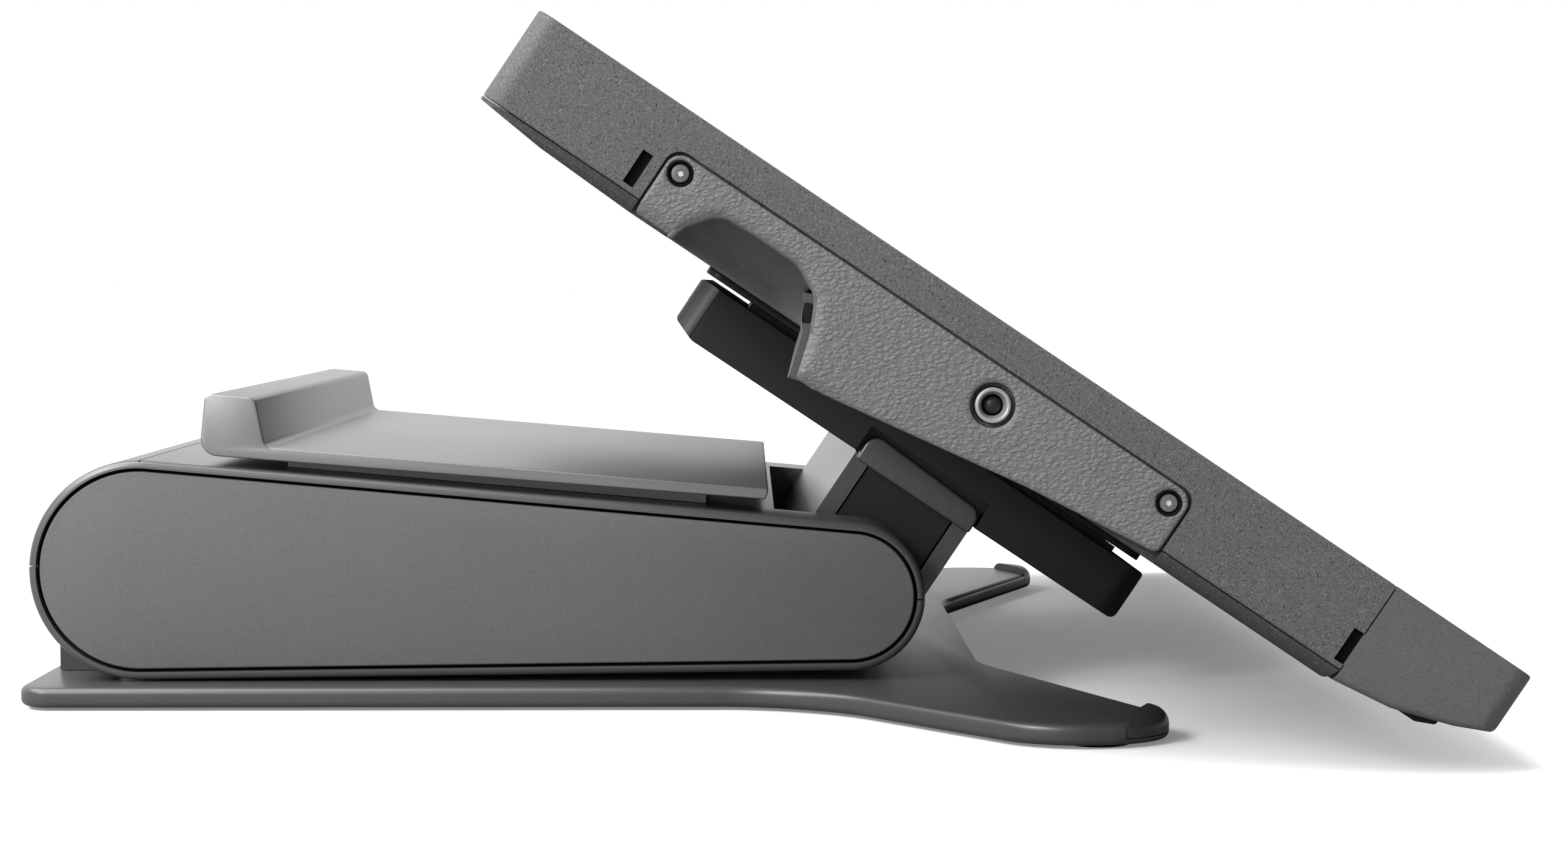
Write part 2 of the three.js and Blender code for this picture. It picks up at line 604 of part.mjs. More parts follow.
function frontCap() {
  const half = DISPLAY_WIDTH / 2;
  const rear = CASE.front + GAP;
  const side = displayOutline([
    [rear, 0, 1], [DISPLAY_LENGTH, 0, 3], [DISPLAY_LENGTH, 25.4, 4], [449, 32.8, 10], [425, 40.6, 14],
    [rear, 44, 2],
  ]);
  const plan = outline([
    [-half, -DISPLAY_LENGTH, CASE.corner], [half, -DISPLAY_LENGTH, CASE.corner], [half, -rear], [-half, -rear],
  ]);
  const hollow = displayOutline([[rear - 1, 3], [460, 3, 2], [460, 22, 4], [424, 34], [rear - 1, 38]]);
  return sideways(side, -half, half, 0, 5)
    .intersect(upright(plan, -60, 5, 0, 5))
    .subtract(sideways(hollow, -half + FRONT_CAP_WALL, half - FRONT_CAP_WALL, 0, 3))
    .subtract(bothSides(sideways(bumperOutline(GAP), BUMPER.inner - GAP, BUMPER.outer + GAP, 0, 2)));
}

// The leather-covered grip: a skin on the case's side, a handle below it and the lining of the scoop.
function grip() {
  const half = DISPLAY_WIDTH / 2;
  const outer = half + GRIP.proud;
  const under = COVER.bottom + GAP;
  const skin = half - GRIP.skin + GAP;
  const rear = GRIP.rear + GRIP.seam;
  const front = GRIP.front - GRIP.seam;
  const top = GRIP.top + GRIP.seam;
  const side = displayOutline([
    [rear, top, GRIP.corner], [front, top, GRIP.corner], [front, 41.4, 2],
    [258, 48.2, 30], [187, 59.9, 30], [161.2, 64.3, 1], [155.8, 45.7], [91, 45.7], [rear, 45.4, 2],
  ]);
  const whole = sideways(side, GRIP.inner, outer, 0, 5).intersect(handleSection());
  let body = whole.subtract(displayBox(GRIP.inner - 1, skin, 0, 400, 0, under));
  const lining = scoop(SCOOP_WALL, SCOOP_INNER - SCOOP_WALL, half - 1)
    .intersect(displayBox(300, half, 60, 200, 20, under + 1));
  body = body.add(lining);
  body = body.subtract(scoop(0, SCOOP_INNER, outer + 1));
  body = body.subtract(barrel(SOCKET.dimple, skin - 2, outer + 1, -SOCKET.along, -SOCKET.depth, 28));
  return body;
}

// The handle's rounded section across the display, shared by the grip and its lever.
function handleSection() {
  const outer = DISPLAY_WIDTH / 2 + GRIP.proud;
  const across = outline([
    [GRIP.inner, -46], [GRIP.inner, -48.5, 2], [372, -65.5, 8], [outer, -62, 6],
    [outer, -10], [GRIP.inner, -10],
  ]);
  return lengthwise(across, -GRIP.front, -GRIP.rear);
}

// An outline drawn in X and Z, extruded along Y.
function lengthwise(shape, y0, y1) {
  const geometry = extrude(shape, y1 - y0, 0, 5);
  const turn = new THREE.Matrix4().makeBasis(
    new THREE.Vector3(1, 0, 0), new THREE.Vector3(0, 0, 1), new THREE.Vector3(0, -1, 0));
  geometry.applyMatrix4(turn);
  geometry.translate(0, y1, 0);
  return solid(geometry);
}

function releaseLever() {
  const skin = DISPLAY_WIDTH / 2 - GRIP.skin;
  return sideways(displayOutline(LEVER), SCOOP_INNER + GAP, skin - GAP, 0, 2).intersect(handleSection());
}

function penSocket() {
  const outer = DISPLAY_WIDTH / 2;
  const { along, depth, ring, hole } = SOCKET;
  return barrel(ring, outer - 14, outer - 0.6, -along, -depth, 28)
    .subtract(barrel(hole, outer - 11, outer + 1, -along, -depth, 20));
}

function displayPieces() {
  const { halfWidth, rear, front, thick } = GLASS;
  const glass = upright(roundedRectangle(-halfWidth, halfWidth, -front, -rear, 3), -thick, 0, 0.4, 3);
  const panel = displayBox(-PANEL.halfWidth, PANEL.halfWidth, PANEL.rear, PANEL.front, PANEL.top, PANEL.bottom);
  const board = displayBox(-120, 120, 120, 300, 24, 26).add(displayBox(-60, 20, 150, 230, 19, 24.5));
  return [
    piece('top_case', topCase(), casePlastic()),
    piece('rear_cover', rearCover(), casePlastic()),
    piece('front_cap', frontCap(), capPlastic()),
    piece('front_glass', glass, finish(0x0b0c0e, 0.15)),
    piece('lcd_panel', panel, finish(0x8d8f92, 0.5, 0.5)),
    piece('main_board', board, finish(0x1f4a2c, 0.6)),
    ...pair('grip', grip(), gripSkin()),
    ...pair('release_lever', releaseLever(), blackPlastic()),
    ...pair('pen_socket', penSocket(), steel()),
    ...pair('bumper', sideways(bumperOutline(0), BUMPER.inner, BUMPER.outer, 0, 2), rubber()),
    ...pair('touch_ring', touchRing(), keyPlastic()),
    ...buttons(),
  ];
}

// ---------------------------------------------------------------- assembly
const tablet = new THREE.Group();

const stand = new THREE.Group();
stand.add(piece('base_plate', basePlate(), standPaint()), ...footPads(), ...legCaps());
stand.add(...pair('pedestal', pedestal(), castPaint()));
stand.add(piece('rear_pivot_shaft', crankedShaft(REAR_PIVOT), steel()));
tablet.add(stand);

const arm = new THREE.Group();
arm.add(piece('arm_upper_shell', armBody().intersect(halfSpace(1)), armPaint()));
arm.add(piece('arm_lower_shell', armBody().intersect(halfSpace(-1)), armPaint()));
arm.add(...pair('arm_side_cover', armSideCover(), coverPaint()));
arm.add(piece('arm_spine', armSpine(), castPaint()));
arm.add(...pair('counterbalance_spring', counterbalanceSpring(), steel()));
arm.add(piece('keyboard_tray', keyboardTray(), trayPaint()));
tablet.add(arm);

const linkage = new THREE.Group();
linkage.add(...pair('level_rod', levelRod(), steel()));
linkage.add(piece('front_pivot_shaft', crankedShaft(FRONT_PIVOT), steel()));
tablet.add(linkage);

const display = new THREE.Group();
display.position.set(0, REAR_TOP_EDGE.y, REAR_TOP_EDGE.z);
display.rotation.x = TILT;
display.add(...knucklePieces());
display.add(...pair('knuckle_cap', knuckleCap(), knucklePlastic()));
display.add(piece('mount_housing', mountHousing(), blackPlastic()));
display.add(piece('mount_plate', mountPlate(), castPaint()));
display.add(...displayPieces());
tablet.add(display);

// The whole object is set down with its box centred on the origin.
const extent = new THREE.Box3().setFromObject(tablet, true);
tablet.position.y = -(extent.min.y + extent.max.y) / 2;

export default tablet;
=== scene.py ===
"""Looks of a large pen display on its lifting stand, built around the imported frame.

Sizes are in millimetres and are turned to metres when a piece is settled in the frame.
The display is modelled in its own frame: x across, y rearwards along the glass, z out of the glass,
from the middle of the rear top edge. Its side outlines are given as (along, depth) from that edge.
"""
import json
import logging
import math
from dataclasses import dataclass
from enum import Enum
from typing import Optional, Sequence, Union

import bmesh
import bpy
from mathutils import Matrix, Vector


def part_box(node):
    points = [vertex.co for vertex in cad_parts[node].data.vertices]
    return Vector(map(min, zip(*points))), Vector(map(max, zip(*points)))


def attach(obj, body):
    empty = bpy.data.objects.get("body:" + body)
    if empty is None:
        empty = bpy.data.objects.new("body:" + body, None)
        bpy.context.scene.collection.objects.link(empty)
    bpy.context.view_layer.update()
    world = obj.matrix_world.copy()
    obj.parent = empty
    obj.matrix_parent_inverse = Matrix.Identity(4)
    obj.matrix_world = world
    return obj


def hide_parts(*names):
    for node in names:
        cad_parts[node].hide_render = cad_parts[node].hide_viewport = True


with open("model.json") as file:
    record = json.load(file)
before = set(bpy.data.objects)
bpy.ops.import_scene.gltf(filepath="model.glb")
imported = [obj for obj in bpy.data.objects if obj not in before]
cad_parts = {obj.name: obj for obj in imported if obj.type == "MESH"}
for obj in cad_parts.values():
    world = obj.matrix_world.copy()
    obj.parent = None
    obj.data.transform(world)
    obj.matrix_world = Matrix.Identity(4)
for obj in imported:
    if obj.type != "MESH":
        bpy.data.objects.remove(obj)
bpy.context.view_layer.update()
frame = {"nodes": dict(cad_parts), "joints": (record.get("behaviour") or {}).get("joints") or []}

MM = 0.001
LOG = logging.getLogger("pen_display")
Corner = tuple[float, ...]
Colour = tuple[float, float, float]
Operand = Union[bpy.types.NodeSocket, float]
Tint = Union[bpy.types.NodeSocket, tuple[float, float, float, float]]
FINE_SIDES = 120
EDGE_ANGLE = 32.0
CORNER_REACH = 1.25
BASE_REAR = 329.5


class Plane(Enum):
    """The plane an outline is drawn in: (y, z) along x, (x, y) along z or (x, z) along y."""

    SIDE = Matrix(((0, 0, 1, 0), (1, 0, 0, 0), (0, 1, 0, 0), (0, 0, 0, 1)))
    PLAN = Matrix(((1, 0, 0, 0), (0, 1, 0, 0), (0, 0, 1, 0), (0, 0, 0, 1)))
    FRONT = Matrix(((1, 0, 0, 0), (0, 0, -1, 0), (0, 1, 0, 0), (0, 0, 0, 1)))


class Side(Enum):
    """The user's left or right side."""

    LEFT = -1
    RIGHT = 1

    @property
    def label(self) -> str:
        """The side's name as the frame spells it."""
        return self.name.lower()

    def span(self, low: float, high: float) -> tuple[float, float]:
        """A stretch of x given for the right side, on this side and in rising order."""
        ends = sorted((self.value * low, self.value * high))
        return ends[0], ends[1]


# ---------------------------------------------------------------- mesh tools
def linked(name: str, bm: bmesh.types.BMesh) -> bpy.types.Object:
    """Turn a bmesh into a linked object with outward faces.

    Args:
        name: The object's name.
        bm: The mesh, which is freed.

    Returns:
        The new object.
    """
    bmesh.ops.recalc_face_normals(bm, faces=bm.faces[:])
    mesh = bpy.data.meshes.new(name)
    bm.to_mesh(mesh)
    bm.free()
    piece = bpy.data.objects.new(name, mesh)
    bpy.context.scene.collection.objects.link(piece)
    return piece


def reach_of(corners: Sequence[Corner], index: int) -> float:
    """How far a corner's rounding starts from it, kept within half of the shorter side.

    Args:
        corners: The outline's corners, (x, y) or (x, y, radius).
        index: Which corner.

    Returns:
        The distance along both sides.
    """
    here, before, after = (Vector(corners[i % len(corners)][:2]) for i in (index, index - 1, index + 1))
    arms = before - here, after - here
    return min(corners[index][2] / math.tan(arms[0].angle(arms[1]) / 2), 0.49 * min(a.length for a in arms))


def flat(corners: Sequence[Corner], steps: int) -> bmesh.types.BMesh:
    """A flat face through corners given as (x, y) or (x, y, radius).

    Args:
        corners: The outline's corners in order.
        steps: Segments in each rounded corner.

    Returns:
        A bmesh with the one face.
    """
    bm = bmesh.new()
    verts = [bm.verts.new((corner[0], corner[1], 0.0)) for corner in corners]
    bm.faces.new(verts)
    for index, vert in enumerate(verts):
        if len(corners[index]) > 2 and corners[index][2] > 0:
            bmesh.ops.bevel(bm, geom=[vert], offset=reach_of(corners, index), offset_type="OFFSET",
                            segments=steps, profile=0.5, affect="VERTICES", material=-1)
    return bm


def raise_face(bm: bmesh.types.BMesh, height: float) -> None:
    """Extrude a flat face upwards into a prism."""
    made = bmesh.ops.extrude_face_region(bm, geom=bm.faces[:])
    top = [item for item in made["geom"] if isinstance(item, bmesh.types.BMVert)]
    bmesh.ops.translate(bm, verts=top, vec=(0, 0, height))
    bmesh.ops.recalc_face_normals(bm, faces=bm.faces[:])


def lay_prism(bm: bmesh.types.BMesh, plane: Plane, low: float, high: float, rim: float,
              rim_steps: int) -> None:
    """Round an upright prism's two rims and turn it into its plane.

    Args:
        bm: The prism, standing on z = 0.
        plane: The plane its outline was drawn in.
        low: Its lower end along the plane's normal.
        high: Its upper end.
        rim: The radius of the rims, or 0.
        rim_steps: Segments in the rims' rounding.
    """
    if rim > 0:
        edges = [e for e in bm.edges if abs(e.verts[0].co.z - e.verts[1].co.z) < 1e-6]
        bmesh.ops.bevel(bm, geom=edges, offset=rim, offset_type="OFFSET", segments=rim_steps,
                        profile=0.5, affect="EDGES", material=-1)
    start = -high if plane is Plane.FRONT else low
    bmesh.ops.translate(bm, verts=bm.verts[:], vec=(0, 0, start))
    bmesh.ops.transform(bm, matrix=plane.value, verts=bm.verts[:])


def prism(name: str, corners: Sequence[Corner], plane: Plane, low: float, high: float,
          rim: float = 0.0, rim_steps: int = 3, steps: int = 8) -> bpy.types.Object:
    """A prism on an outline, with rounded corners and rims.

    Args:
        name: The object's name.
        corners: The outline's corners, (x, y) or (x, y, radius), in the plane's own axes.
        plane: The plane the outline is drawn in.
        low: Where it starts along the plane's normal.
        high: Where it ends.
        rim: The radius of the rims.
        rim_steps: Segments in the rims.
        steps: Segments in each rounded corner.

    Returns:
        The new object, in millimetres.
    """
    bm = flat(corners, steps)
    raise_face(bm, high - low)
    lay_prism(bm, plane, low, high, rim, rim_steps)
    return linked(name, bm)


def rectangle(x: Sequence[float], y: Sequence[float], low: float = 0.0,
              high: Optional[float] = None) -> list[Corner]:
    """A rectangle's corners, with a radius for the two at the low y and one for the other two.

    Args:
        x: Its two ends across.
        y: Its two ends along.
        low: The radius of the corners at the first y.
        high: The radius of the corners at the second y, or None for the same one.

    Returns:
        The corners in order.
    """
    far = low if high is None else high
    return [(x[0], y[0], low), (x[1], y[0], low), (x[1], y[1], far), (x[0], y[1], far)]


def block(name: str, x: Sequence[float], y: Sequence[float], z: Sequence[float],
          rim: float = 0.0) -> bpy.types.Object:
    """A box between two values on each axis.

    Args:
        name: The object's name.
        x: Its two ends along x.
        y: Its two ends along y.
        z: Its two ends along z.
        rim: The radius of its edges.

    Returns:
        The new object.
    """
    bm = bmesh.new()
    bmesh.ops.create_cube(bm, size=1.0)
    bmesh.ops.scale(bm, vec=(x[1] - x[0], y[1] - y[0], z[1] - z[0]), verts=bm.verts[:])
    middle = ((x[0] + x[1]) / 2, (y[0] + y[1]) / 2, (z[0] + z[1]) / 2)
    bmesh.ops.translate(bm, vec=middle, verts=bm.verts[:])
    if rim > 0:
        bmesh.ops.bevel(bm, geom=bm.edges[:], offset=rim, offset_type="OFFSET", segments=3,
                        profile=0.5, affect="EDGES", material=-1)
    return linked(name, bm)


def rod(name: str, radius: float, plane: Plane, low: float, high: float, centre: tuple[float, float],
        rim: float = 0.0, sides: int = 48) -> bpy.types.Object:
    """A round bar along a plane's normal.

    Args:
        name: The object's name.
        radius: The bar's radius.
        plane: The plane its circle is drawn in.
        low: Where it starts along the normal.
        high: Where it ends.
        centre: The circle's centre in the plane.
        rim: The radius of its two rims.
        sides: Segments round it.

    Returns:
        The new object.
    """
    bm = bmesh.new()
    bmesh.ops.create_circle(bm, cap_ends=True, segments=sides, radius=radius)
    bmesh.ops.translate(bm, vec=(centre[0], centre[1], 0), verts=bm.verts[:])
    raise_face(bm, high - low)
    lay_prism(bm, plane, low, high, rim, 3)
    return linked(name, bm)


def belt(name: str, ends: Sequence[tuple[tuple[float, float], float]], low: float, high: float,
         rim: float = 0.0, rim_steps: int = 3) -> bpy.types.Object:
    """Two round ends joined by straight flanks, drawn in the side plane.

    Args:
        name: The object's name.
        ends: Each end's (y, z) and radius.
        low: Its lower end along x.
        high: Its upper end along x.
        rim: The radius of its rims.
        rim_steps: Segments in the rims.

    Returns:
        The new object.
    """
    bm = bmesh.new()
    for centre, radius in ends:
        made = bmesh.ops.create_circle(bm, cap_ends=True, segments=FINE_SIDES, radius=radius)
        bmesh.ops.translate(bm, vec=(*centre, 0), verts=made["verts"])
    raise_face(bm, high - low)
    hull = bmesh.ops.convex_hull(bm, input=bm.verts[:])
    inside = [item for item in hull["geom_interior"] if isinstance(item, bmesh.types.BMVert)]
    bmesh.ops.delete(bm, geom=inside, context="VERTS")
    shell = {item for item in hull["geom"] if isinstance(item, bmesh.types.BMFace)}
    bmesh.ops.delete(bm, geom=[f for f in bm.faces if f not in shell], context="FACES")
    bmesh.ops.dissolve_limit(bm, angle_limit=math.radians(0.3), verts=bm.verts[:], edges=bm.edges[:])
    bmesh.ops.recalc_face_normals(bm, faces=bm.faces[:])
    lay_prism(bm, Plane.SIDE, low, high, rim, rim_steps)
    return linked(name, bm)


def turned(name: str, profile: Sequence[tuple[float, float]], plane: Plane, centre: tuple[float, float],
           sides: int = 64) -> bpy.types.Object:
    """A closed profile of (radius, height) spun round the plane's normal.

    Args:
        name: The object's name.
        profile: The closed profile.
        plane: The plane square to the spin axis.
        centre: The axis's place in that plane.
        sides: Steps round the axis.

    Returns:
        The new object.
    """
    bm = bmesh.new()
    verts = [bm.verts.new((radius, 0.0, height)) for radius, height in profile]
    edges = [bm.edges.new((verts[i - 1], verts[i])) for i in range(len(verts))]
    bmesh.ops.spin(bm, geom=verts + edges, cent=(0, 0, 0), axis=(0, 0, 1), angle=2 * math.pi,
                   steps=sides, use_merge=True)
    bmesh.ops.remove_doubles(bm, verts=bm.verts[:], dist=1e-4)
    bmesh.ops.translate(bm, vec=(centre[0], centre[1], 0), verts=bm.verts[:])
    bmesh.ops.transform(bm, matrix=plane.value, verts=bm.verts[:])
    return linked(name, bm)


def bake(piece: bpy.types.Object) -> None:
    """Replace a piece's mesh by what its modifiers make of it."""
    depsgraph = bpy.context.evaluated_depsgraph_get()
    mesh = bpy.data.meshes.new_from_object(piece.evaluated_get(depsgraph), depsgraph=depsgraph)
    piece.modifiers.clear()
    old = piece.data
    piece.data = mesh
    bpy.data.meshes.remove(old)


def combine(piece: bpy.types.Object, others: Sequence[bpy.types.Object], operation: str) -> bpy.types.Object:
    """Apply a boolean with other pieces, which are used up.

    Args:
        piece: The piece that is changed.
        others: The pieces it is cut, joined or crossed with.
        operation: DIFFERENCE, UNION or INTERSECT.

    Returns:
        The changed piece.
    """
    for other in others:
        modifier = piece.modifiers.new("combine", "BOOLEAN")
        modifier.operation = operation
        modifier.solver = "EXACT"
        modifier.object = other
    bake(piece)
    for other in others:
        mesh = other.data
        bpy.data.objects.remove(other)
        bpy.data.meshes.remove(mesh)
    return piece


def cut(piece: bpy.types.Object, *cutters: bpy.types.Object) -> bpy.types.Object:
    """Cut other pieces out of a piece."""
    return combine(piece, cutters, "DIFFERENCE")


def join(piece: bpy.types.Object, *added: bpy.types.Object) -> bpy.types.Object:
    """Join other pieces to a piece."""
    return combine(piece, added, "UNION")


def cross(piece: bpy.types.Object, *limits: bpy.types.Object) -> bpy.types.Object:
    """Keep what a piece shares with other pieces."""
    return combine(piece, limits, "INTERSECT")


def copied(piece: bpy.types.Object, name: str) -> bpy.types.Object:
    """A linked copy of a piece with its own mesh."""
    twin = piece.copy()
    twin.data = piece.data.copy()
    twin.name = name
    bpy.context.scene.collection.objects.link(twin)
    return twin


def soften(piece: bpy.types.Object, width: float, steps: int = 2,
           angle: float = EDGE_ANGLE) -> bpy.types.Object:
    """Round every sharp edge a little and shade the faces cleanly.

    Args:
        piece: The piece.
        width: The rounding's width.
        steps: Segments in the rounding.
        angle: Edges sharper than this many degrees are rounded.

    Returns:
        The softened piece.
    """
    piece.data.shade_smooth()
    modifier = piece.modifiers.new("soften", "BEVEL")
    modifier.width = width
    modifier.segments = steps
    modifier.limit_method = "ANGLE"
    modifier.angle_limit = math.radians(angle)
    modifier.harden_normals = True
    modifier.use_clamp_overlap = True
    bake(piece)
    return piece


def shade(piece: bpy.types.Object, angle: float = EDGE_ANGLE) -> bpy.types.Object:
    """Shade a piece smooth, with edges sharper than an angle kept crisp."""
    piece.data.shade_smooth()
    piece.data.set_sharp_from_angle(angle=math.radians(angle))
    return piece


def skinned(piece: bpy.types.Object, voxel: float, smoothing: int) -> bpy.types.Object:
    """Give a piece the rolled edges of a skin drawn over it.

    Args:
        piece: The piece.
        voxel: The size of the even faces it is remade from.
        smoothing: Rounds of smoothing.

    Returns:
        The remade piece.
    """
    remesh = piece.modifiers.new("even", "REMESH")
    remesh.mode = "VOXEL"
    remesh.voxel_size = voxel
    smooth = piece.modifiers.new("roll", "SMOOTH")
    smooth.factor = 0.5
    smooth.iterations = smoothing
    bake(piece)
    piece.data.shade_smooth()
    return piece


# ---------------------------------------------------------------- places read from the frame
def joint_point(name: str) -> tuple[float, float]:
    """A hinge's y and z in millimetres."""
    joint = next(j for j in frame["joints"] if j["name"] == name)
    return joint["pos_m"][1] / MM, joint["pos_m"][2] / MM


def box_mm(node: str) -> tuple[Vector, Vector]:
    """A node's lowest and highest corners in millimetres."""
    low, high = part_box(node)
    return low / MM, high / MM


def display_matrix() -> Matrix:
    """The display's own frame, in millimetres, read from the case and the keys' press."""
    press = next(j for j in frame["joints"] if j["type"] == "slide")["axis"]
    turn = Matrix.Rotation(math.atan2(press[1], -press[2]), 4, "X")
    upright = turn.inverted()
    level = [upright @ vertex.co for vertex in frame["nodes"]["top_case"].data.vertices]
    edge = Vector((0, max(point.y for point in level), max(point.z for point in level)))
    return Matrix.Translation(turn @ (edge / MM)) @ turn


TO_DISPLAY = display_matrix()
UPRIGHT = Matrix.Identity(4)


def on_display(point: tuple[float, float]) -> tuple[float, float]:
    """A world (y, z) as (along, depth) on the display."""
    local = TO_DISPLAY.inverted() @ Vector((0, point[0], point[1]))
    return -local.y, -local.z


def side_view(corners: Sequence[Corner]) -> list[Corner]:
    """Corners given as (along, depth[, radius]) turned to the display frame's (y, z[, radius])."""
    return [(-corner[0], -corner[1], *corner[2:]) for corner in corners]


def grown(corners: Sequence[Corner], by: float) -> list[Corner]:
    """Corners pushed away from their middle.

    Args:
        corners: The outline.
        by: How far each side moves out.

    Returns:
        The larger outline.
    """
    middle = Vector((sum(c[0] for c in corners), sum(c[1] for c in corners))) / len(corners)
    out = []
    for corner in corners:
        away = Vector((corner[0], corner[1])) - middle
        moved = Vector((corner[0], corner[1])) + away.normalized() * by * CORNER_REACH
        out.append((moved.x, moved.y, *corner[2:]))
    return out


def settle(piece: bpy.types.Object, place: Matrix, body: str, material: bpy.types.Material, slot: str,
           *nodes: str) -> bpy.types.Object:
    """Put a finished piece into the frame.

    Args:
        piece: The piece, in millimetres.
        place: Its own frame, in millimetres.
        body: The body it rides on.
        material: Its material.
        slot: The record's material slot; not used.
        nodes: The CAD nodes that it stands for.

    Returns:
        The piece.
    """
    piece.data.transform(Matrix.Scale(MM, 4) @ place)
    piece.data.materials.clear()
    piece.data.materials.append(material)
    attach(piece, body)
    if nodes:
        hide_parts(*nodes)
    LOG.info("%s rides on %s, %d faces", piece.name, body, len(piece.data.polygons))
    return piece


# ---------------------------------------------------------------- finishes
class Relief(Enum):
    """The fine relief of a finish."""

    GRAIN = "surface_grain"
    LEATHER = "surface_leather"
    BRUSHED = "surface_brushed"


class NodeSketch:
    """Adds nodes to one node tree and wires them."""

    def __init__(self, tree: bpy.types.NodeTree) -> None:
        """Keep the tree."""
        self.tree = tree

    def add(self, kind: str, settings: Optional[dict] = None,
            values: Optional[dict] = None) -> bpy.types.Node:
        """Add a node.

        Args:
            kind: The node's type name.
            settings: Its properties.
            values: Its inputs' constants, or the sockets that feed them, by name or number.

        Returns:
            The node.
        """
        node = self.tree.nodes.new(kind)
        for key, value in (settings or {}).items():
            setattr(node, key, value)
        for key, value in (values or {}).items():
            if isinstance(value, bpy.types.NodeSocket):
                self.tree.links.new(value, node.inputs[key])
            else:
                node.inputs[key].default_value = value
        return node

    def math(self, operation: str, first: Operand, second: Operand = 0.0,
             third: Operand = 0.0) -> bpy.types.NodeSocket:
        """A Math node's result, from sockets or numbers."""
        return self.add("ShaderNodeMath", {"operation": operation}, {0: first, 1: second, 2: third}).outputs[0]

    def ramp(self, value: bpy.types.NodeSocket, low: float, high: float) -> bpy.types.NodeSocket:
        """How far a value is from low to high, from 0 to 1, smoothly and within its ends."""
        node = self.add("ShaderNodeMapRange", {"interpolation_type": "SMOOTHSTEP"},
                        {"Value": value, "From Min": low, "From Max": high})
        return node.outputs["Result"]

    def mix(self, factor: Operand, first: Tint, second: Tint) -> bpy.types.NodeSocket:
        """A colour mixed from two colours."""
        return self.add("ShaderNodeMix", {"data_type": "RGBA"}, {0: factor, 6: first, 7: second}).outputs[2]

    def noise(self, place: bpy.types.NodeSocket, scale: Operand, detail: float = 3.0,
              roughness: float = 0.5) -> bpy.types.NodeSocket:
        """A noise texture's value."""
        return self.add("ShaderNodeTexNoise", {}, {
            "Vector": place, "Scale": scale, "Detail": detail, "Roughness": roughness}).outputs["Fac"]

    def place(self) -> bpy.types.NodeSocket:
        """The object's own coordinates, in metres."""
        return self.add("ShaderNodeTexCoord").outputs["Object"]


def group(name: str, inputs: Sequence[tuple[str, str]], outputs: Sequence[tuple[str, str]]
          ) -> tuple[bpy.types.NodeTree, NodeSketch, bpy.types.Node, bpy.types.Node]:
    """Start a shader node group.

    Args:
        name: The group's name.
        inputs: Names and kinds of its inputs.
        outputs: Names and kinds of its outputs.

    Returns:
        The tree, a sketch on it, and its input and output nodes.
    """
    tree = bpy.data.node_groups.new(name, "ShaderNodeTree")
    for label, kind in inputs:
        tree.interface.new_socket(label, in_out="INPUT", socket_type=f"NodeSocket{kind}")
    for label, kind in outputs:
        tree.interface.new_socket(label, in_out="OUTPUT", socket_type=f"NodeSocket{kind}")
    sketch = NodeSketch(tree)
    return tree, sketch, sketch.add("NodeGroupInput"), sketch.add("NodeGroupOutput")


def make_mottle() -> bpy.types.NodeTree:
    """Colour and roughness that wander a little over a surface, as handling and moulding leave them."""
    tree, draw, given, out = group(
        "surface_mottle",
        [("Color", "Color"), ("Roughness", "Float"), ("Amount", "Float"), ("Scale", "Float")],
        [("Color", "Color"), ("Roughness", "Float")])
    broad = draw.noise(draw.place(), given.outputs["Scale"], 5.0, 0.6)
    swing = draw.math("MULTIPLY", draw.math("SUBTRACT", broad, 0.5), given.outputs["Amount"])
    shaded = draw.add("ShaderNodeHueSaturation", {},
                      {"Value": draw.math("ADD", swing, 1.0), "Color": given.outputs["Color"]})
    rough = draw.math("MULTIPLY_ADD", swing, 0.6, given.outputs["Roughness"])
    tree.links.new(shaded.outputs["Color"], out.inputs["Color"])
    tree.links.new(rough, out.inputs["Roughness"])
    return tree


def make_fleck() -> bpy.types.NodeTree:
    """Dark and pale flecks in a moulded surface."""
    tree, draw, given, out = group(
        "surface_fleck", [("Color", "Color"), ("Amount", "Float"), ("Scale", "Float")], [("Color", "Color")])
    fine = draw.noise(draw.place(), given.outputs["Scale"], 1.0, 0.5)
    amount, pale_share = given.outputs["Amount"], 0.25
    dark = draw.math("MULTIPLY", draw.ramp(fine, 0.40, 0.28), amount)
    pale = draw.math("MULTIPLY", draw.ramp(fine, 0.58, 0.72), draw.math("MULTIPLY", amount, pale_share))
    darkened = draw.mix(dark, given.outputs["Color"], (0.01, 0.01, 0.01, 1.0))
    tree.links.new(draw.mix(pale, darkened, (0.5, 0.5, 0.51, 1.0)), out.inputs["Color"])
    return tree


